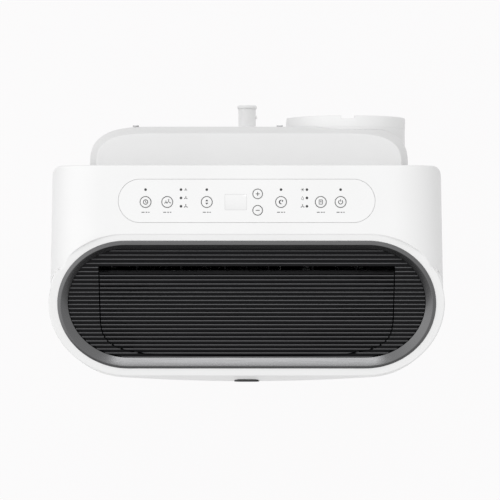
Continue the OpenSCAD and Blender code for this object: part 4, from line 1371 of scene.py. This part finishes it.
def build_stage():
    """Pale floor, soft lights and the camera."""
    scene = bpy.context.scene
    scene.view_settings.view_transform = "Standard"
    size = 30.0
    grid = np.linspace(-size, size, 2)
    x, y = np.meshgrid(grid, grid, indexing="ij")
    floor = grid_object("floor", np.stack([x, y, np.zeros_like(x)], -1))
    if floor.data.polygons[0].normal.z < 0:
        floor.data.flip_normals()
    material, shader = node_material("Floor", (0.05, 0.05, 0.05), 0.9, specular=0.0)
    shader.inputs["Emission Color"].default_value = (0.956, 0.95, 0.953, 1)
    nodes, links = material.node_tree.nodes, material.node_tree.links
    place = nodes.new("ShaderNodeTexCoord")
    away = nodes.new("ShaderNodeVectorMath")
    away.operation = "LENGTH"
    links.new(place.outputs["Object"], away.inputs[0])
    fade = ramp(material, away.outputs["Value"], 0.96, 0.42, 0.55, 1.5)
    links.new(fade, shader.inputs["Emission Strength"])
    floor.data.materials.append(material)
    scene.world = studio_world()
    area_light("Rear softbox", (0.0, 2.4, 3.6), (1.9, 1.1), 19.0)
    lens = bpy.data.cameras.new("Camera")
    lens.sensor_width = 36.0
    lens.lens = 164.8
    lens.clip_end = 100.0
    camera = bpy.data.objects.new("Camera", lens)
    camera.location = (3.7 * MM, -15.75 * MM, 3.264)
    scene.collection.objects.link(camera)
    scene.camera = camera


def studio_world():
    """Even studio light that brightens towards the zenith with the square of the
    direction's height, and glows from the left with the square of its reach."""
    world = bpy.data.worlds.new("Studio")
    world.use_nodes = True
    tree = world.node_tree
    place = tree.nodes.new("ShaderNodeTexCoord")
    split = tree.nodes.new("ShaderNodeSeparateXYZ")
    tree.links.new(place.outputs["Generated"], split.inputs["Vector"])
    across, upward = split.outputs["X"], split.outputs["Z"]
    left = compute(tree, "MINIMUM", across, 0.0)
    glow = compute(tree, "MULTIPLY", left, left)
    sky = compute(tree, "MULTIPLY_ADD", compute(tree, "MULTIPLY", upward, upward), 0.2, 0.75)
    background = tree.nodes["Background"]
    background.inputs["Color"].default_value = (1.0, 1.0, 1.0, 1)
    tree.links.new(compute(tree, "MULTIPLY_ADD", glow, 0.7, sky), background.inputs["Strength"])
    return world


def area_light(name, place, size, power):
    """A softbox that faces the object's upper half."""
    light = bpy.data.lights.new(name, "AREA")
    light.shape = "RECTANGLE"
    light.size, light.size_y = size
    light.energy = power
    obj = bpy.data.objects.new(name, light)
    obj.location = place
    aim = np.array([0, 0, 0.55]) - np.array(place)
    obj.rotation_euler = Vector(aim).to_track_quat("-Z", "Y").to_euler()
    bpy.context.scene.collection.objects.link(obj)
    return obj


# ---------------------------------------------------------------- operators

class AC_OT_stage(bpy.types.Operator):
    """Builds the floor, the lights and the camera."""

    bl_idname = "aircon.stage"
    bl_label = "Stage"

    def execute(self, context):
        build_stage()
        return {"FINISHED"}


class AC_OT_finishes(bpy.types.Operator):
    """Gives every node of the frame its finish."""

    bl_idname = "aircon.finishes"
    bl_label = "Finishes"

    def execute(self, context):
        slots = {row["node"]: row["material_slot"] for row in frame["record"]["subparts"]}
        for node, obj in frame["nodes"].items():
            obj.data.materials.clear()
            obj.data.materials.append(finish(slots[node]))
        for node in KEYS:
            soften(node, 0.3 * MM)
        for node, width in EDGES.items():
            soften(node, width * MM)
        for node in frame["nodes"]:
            if node.startswith("fork_"):
                soften(node, 0.7 * MM)
            if node.startswith(SMOOTHED):
                smooth(frame["nodes"][node], 35)
        return {"FINISHED"}


class AC_OT_housing(bpy.types.Operator):
    """Builds the top housing."""

    bl_idname = "aircon.housing"
    bl_label = "Top housing"

    def execute(self, context):
        build_top_housing()
        return {"FINISHED"}


class AC_OT_rear_cover(bpy.types.Operator):
    """Builds the rear cover."""

    bl_idname = "aircon.rear_cover"
    bl_label = "Rear cover"

    def execute(self, context):
        build_rear_cover()
        return {"FINISHED"}


class AC_OT_fittings(bpy.types.Operator):
    """Builds the exhaust collar and the drain spigot."""

    bl_idname = "aircon.fittings"
    bl_label = "Fittings"

    def execute(self, context):
        build_collar()
        build_spigot()
        return {"FINISHED"}


class AC_OT_prints(bpy.types.Operator):
    """Builds the marks printed on the keys and the panel."""

    bl_idname = "aircon.prints"
    bl_label = "Prints"

    def execute(self, context):
        build_key_prints()
        build_panel_prints()
        return {"FINISHED"}


class AC_OT_outlet(bpy.types.Operator):
    """Builds the trim ring, the ribbed face and the flap."""

    bl_idname = "aircon.outlet"
    bl_label = "Air outlet"

    def execute(self, context):
        build_ring()
        build_surround()
        build_flap()
        build_flap_roll()
        return {"FINISHED"}


PIECES = (AC_OT_finishes, AC_OT_housing, AC_OT_rear_cover, AC_OT_outlet, AC_OT_fittings,
          AC_OT_prints, AC_OT_stage)


class AC_PT_panel(bpy.types.Panel):
    """Lists the pieces of the air conditioner."""

    bl_idname = "AC_PT_panel"
    bl_label = "Portable air conditioner"
    bl_space_type = "VIEW_3D"
    bl_region_type = "UI"
    bl_category = "Air conditioner"

    def draw(self, context):
        for piece in PIECES:
            self.layout.operator(piece.bl_idname)


GROUPS = {"ac_casing": CasingSizes, "ac_outlet": OutletSizes, "ac_prints": PrintSizes,
          "ac_finishes": Finishes}


def register():
    for name, group in GROUPS.items():
        bpy.utils.register_class(group)
        setattr(bpy.types.Scene, name, bpy.props.PointerProperty(type=group))
    for piece in PIECES:
        bpy.utils.register_class(piece)
    bpy.utils.register_class(AC_PT_panel)


def unregister():
    bpy.utils.unregister_class(AC_PT_panel)
    for piece in reversed(PIECES):
        bpy.utils.unregister_class(piece)
    for name, group in reversed(GROUPS.items()):
        delattr(bpy.types.Scene, name)
        bpy.utils.unregister_class(group)


def main():
    register()
    bpy.ops.aircon.stage()
    bpy.ops.aircon.finishes()
    bpy.ops.aircon.housing()
    bpy.ops.aircon.rear_cover()
    bpy.ops.aircon.outlet()
    bpy.ops.aircon.fittings()
    bpy.ops.aircon.prints()


if __name__ == "__main__":
    main()
